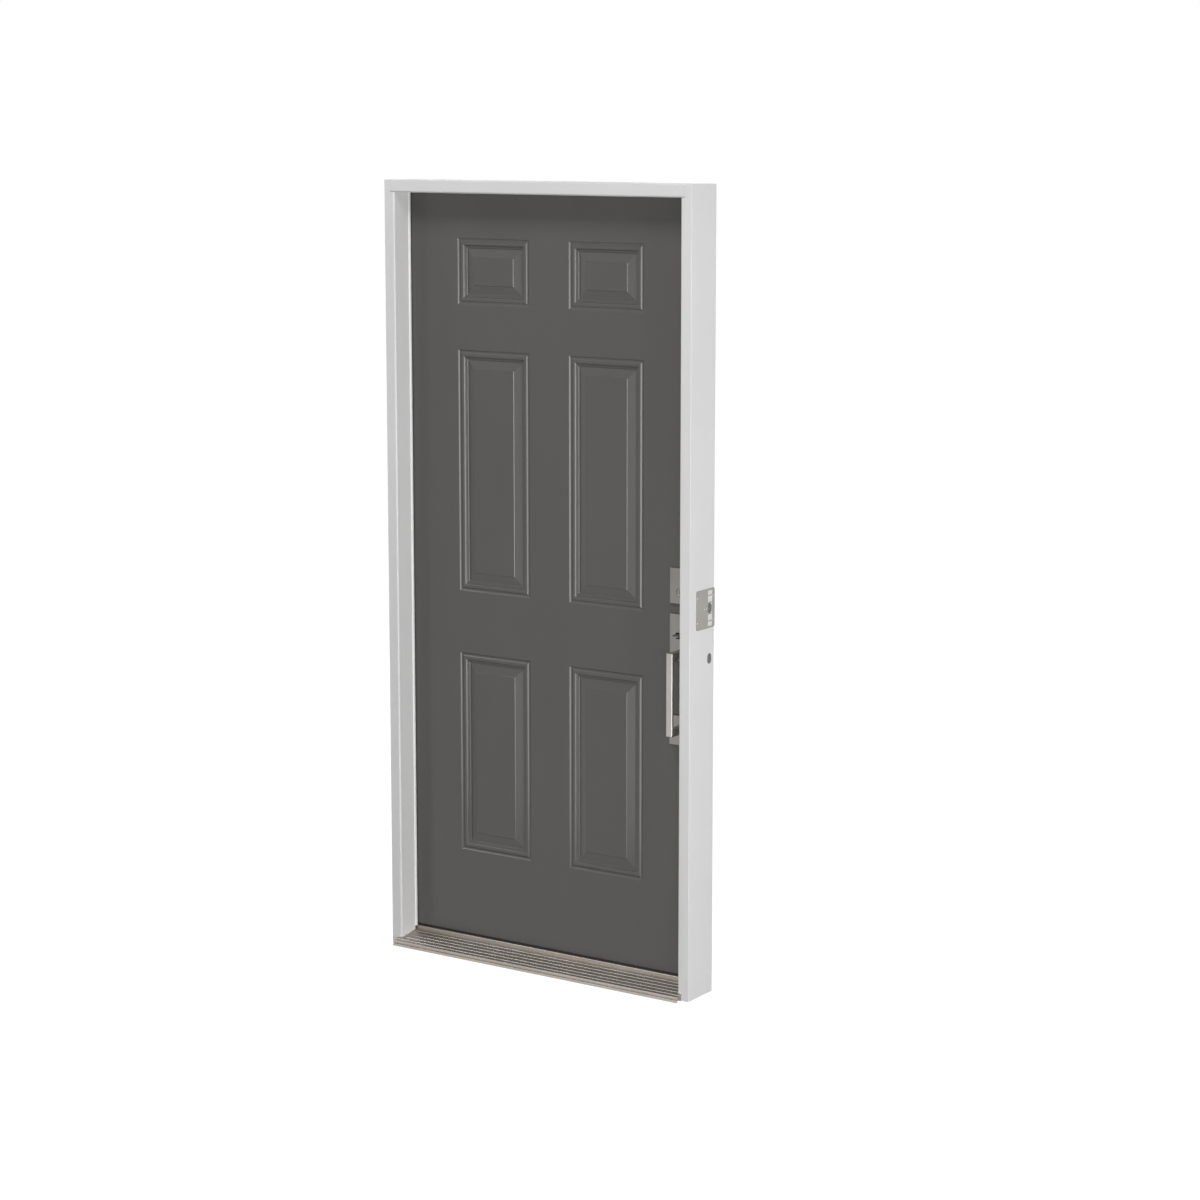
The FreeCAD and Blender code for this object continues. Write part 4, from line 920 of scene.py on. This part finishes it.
# %% World and floor
WORLD_LEVEL = 0.06
FLOOR_GLOW = 0.75
FLOOR_GLOW_STRENGTH = 1.34
FLOOR_GREY = 0.50
FLOOR_HALF = 30.0


def looked_at(network):
    """1 for rays from the camera, in a reflection or through glass, and 0 for light on the object."""
    direct, mirrored, through = (
        network.node("ShaderNodeLightPath", output="Is %s Ray" % kind)
        for kind in ("Camera", "Glossy", "Transmission"))
    return direct.math("MAXIMUM", direct.math("MAXIMUM", direct, mirrored), through)


def studio_world():
    world = bpy.data.worlds.new("studio")
    world.use_nodes = True
    world.node_tree.nodes.clear()
    sky = Network(world.node_tree)
    level = sky.node("ShaderNodeMapRange", {}, {
        "Value": looked_at(sky), "To Min": WORLD_LEVEL, "To Max": 1.0}, "Result")
    light = sky.node("ShaderNodeBackground", {}, {"Color": grey(1.0), "Strength": level})
    sky.node("ShaderNodeOutputWorld", {}, {"Surface": light})
    return world


def floor_finish():
    finish = Finish("floor_white")
    plain = finish.node("ShaderNodeBsdfDiffuse", {}, {"Color": grey(FLOOR_GREY)})
    glow = finish.node("ShaderNodeEmission", {}, {"Color": grey(1.0), "Strength": FLOOR_GLOW_STRENGTH})
    shader = finish.node("ShaderNodeMixShader", {}, {
        0: looked_at(finish) * FLOOR_GLOW, 1: plain, 2: glow})
    finish.node("ShaderNodeOutputMaterial", {}, {"Surface": shader})
    return finish.material


scene.world = studio_world()
floor_mesh = mesh_from(
    "floor",
    [(-FLOOR_HALF, -FLOOR_HALF, 0), (FLOOR_HALF, -FLOOR_HALF, 0), (FLOOR_HALF, FLOOR_HALF, 0),
     (-FLOOR_HALF, FLOOR_HALF, 0)], [], [(0, 1, 2, 3)])
floor_mesh.materials.append(floor_finish())
floor = bpy.data.objects.new("floor", floor_mesh)
scene.collection.objects.link(floor)
print("world level", WORLD_LEVEL, "floor", 2 * FLOOR_HALF, "m square")

# %% [markdown]
# ## Lamps
#
# The grey paint is dark and slightly glossy, so its mouldings show by what they reflect. Panels
# of light stand in an arc from the front round to the right. Each fold of a moulding finds some
# part of that arc, while the flat faces look past it to the left.
#
# A lamp can be kept out of reflections, or show only there, and this scene uses both. The side
# lamps light the outside of the white jamb and stay out of reflections, because the steel plate
# there would mirror them. The gloss lamps show only in reflections, so they brighten the folds
# and the bevels and leave the white paint alone. The lower panels of the door mirror the floor
# close by, so a low strip of such lamps stands there.
#
# A lamp overhead gives the head and the sill their tones and throws the head's shadow on the
# leaf. A small one at the left brightens the corner of the jamb. Two wide panels behind light the
# indoor side for the views from there. They are wide so that they stay mild where the open leaf
# mirrors them.

# %% Helpers for lamps
LAMP_LIFT = 0.05


def soft_lamp(name, place, target, width, height, power):
    """A large flat lamp that faces a point."""
    data = bpy.data.lights.new(name, "AREA")
    data.shape = "RECTANGLE"
    data.size = width
    data.size_y = height
    data.energy = power
    lamp = bpy.data.objects.new(name, data)
    lamp.location = place
    aim = Vector(target) - Vector(place)
    lamp.rotation_euler = aim.to_track_quat("-Z", "Y").to_euler()
    scene.collection.objects.link(lamp)
    return lamp


def lamp_arc(name, distance, width, height, panels):
    """Upright panels that face the door. Turn 0 is in front of it, 90 at its right and 180 behind."""
    arc = []
    for turn, power in panels:
        angle = math.radians(turn)
        place = (distance * math.sin(angle), -distance * math.cos(angle), height / 2 + LAMP_LIFT)
        target = (0.0, 0.0, place[2])
        arc.append(soft_lamp("%s_%d" % (name, turn), place, target, width, height, power))
    return arc


print("lamp helpers ready")

# %% Lamps
# How far off an arc stands, how wide and high its panels are, and the turn and power of each.
LAMP_ARCS = {
    "wall_lamp": (3.8, 1.5, 1.85, ((22, 9.0), (45, 22.0))),
    "side_lamp": (3.8, 1.5, 3.4, ((76, 56.0), (95, 21.0))),
    "back_lamp": (4.3, 4.0, 3.4, ((185, 58.0), (240, 58.0))),
    "gloss_lamp": (3.85, 1.5, 1.85, ((0, 6.0), (22, 11.0), (45, 36.0), (68, 78.0))),
    "low_lamp": (1.15, 0.60, 0.55, ((5, 1.0), (35, 3.0), (65, 3.5), (95, 3.5))),
}
# Where a lamp hangs, what it faces, how wide and how high it is, and its power.
HUNG_LAMPS = {
    "overhead_lamp": ((0.5, -4.0, 6.9), (0.0, 0.0, 1.2), 2.0, 2.0, 265.0),
    "corner_lamp": ((-2.4, -0.9, 2.9), (-0.45, 0.0, 1.9), 0.8, 0.8, 14.0),
}
arcs = {name: lamp_arc(name, *arc) for name, arc in LAMP_ARCS.items()}
for name, lamp in HUNG_LAMPS.items():
    soft_lamp(name, *lamp)
for lamp in arcs["side_lamp"]:
    lamp.visible_glossy = False
for lamp in arcs["gloss_lamp"] + arcs["low_lamp"]:
    lamp.visible_diffuse = False
print("panels in each arc:", {name: len(arc) for name, arc in arcs.items()}, "hung:", list(HUNG_LAMPS))
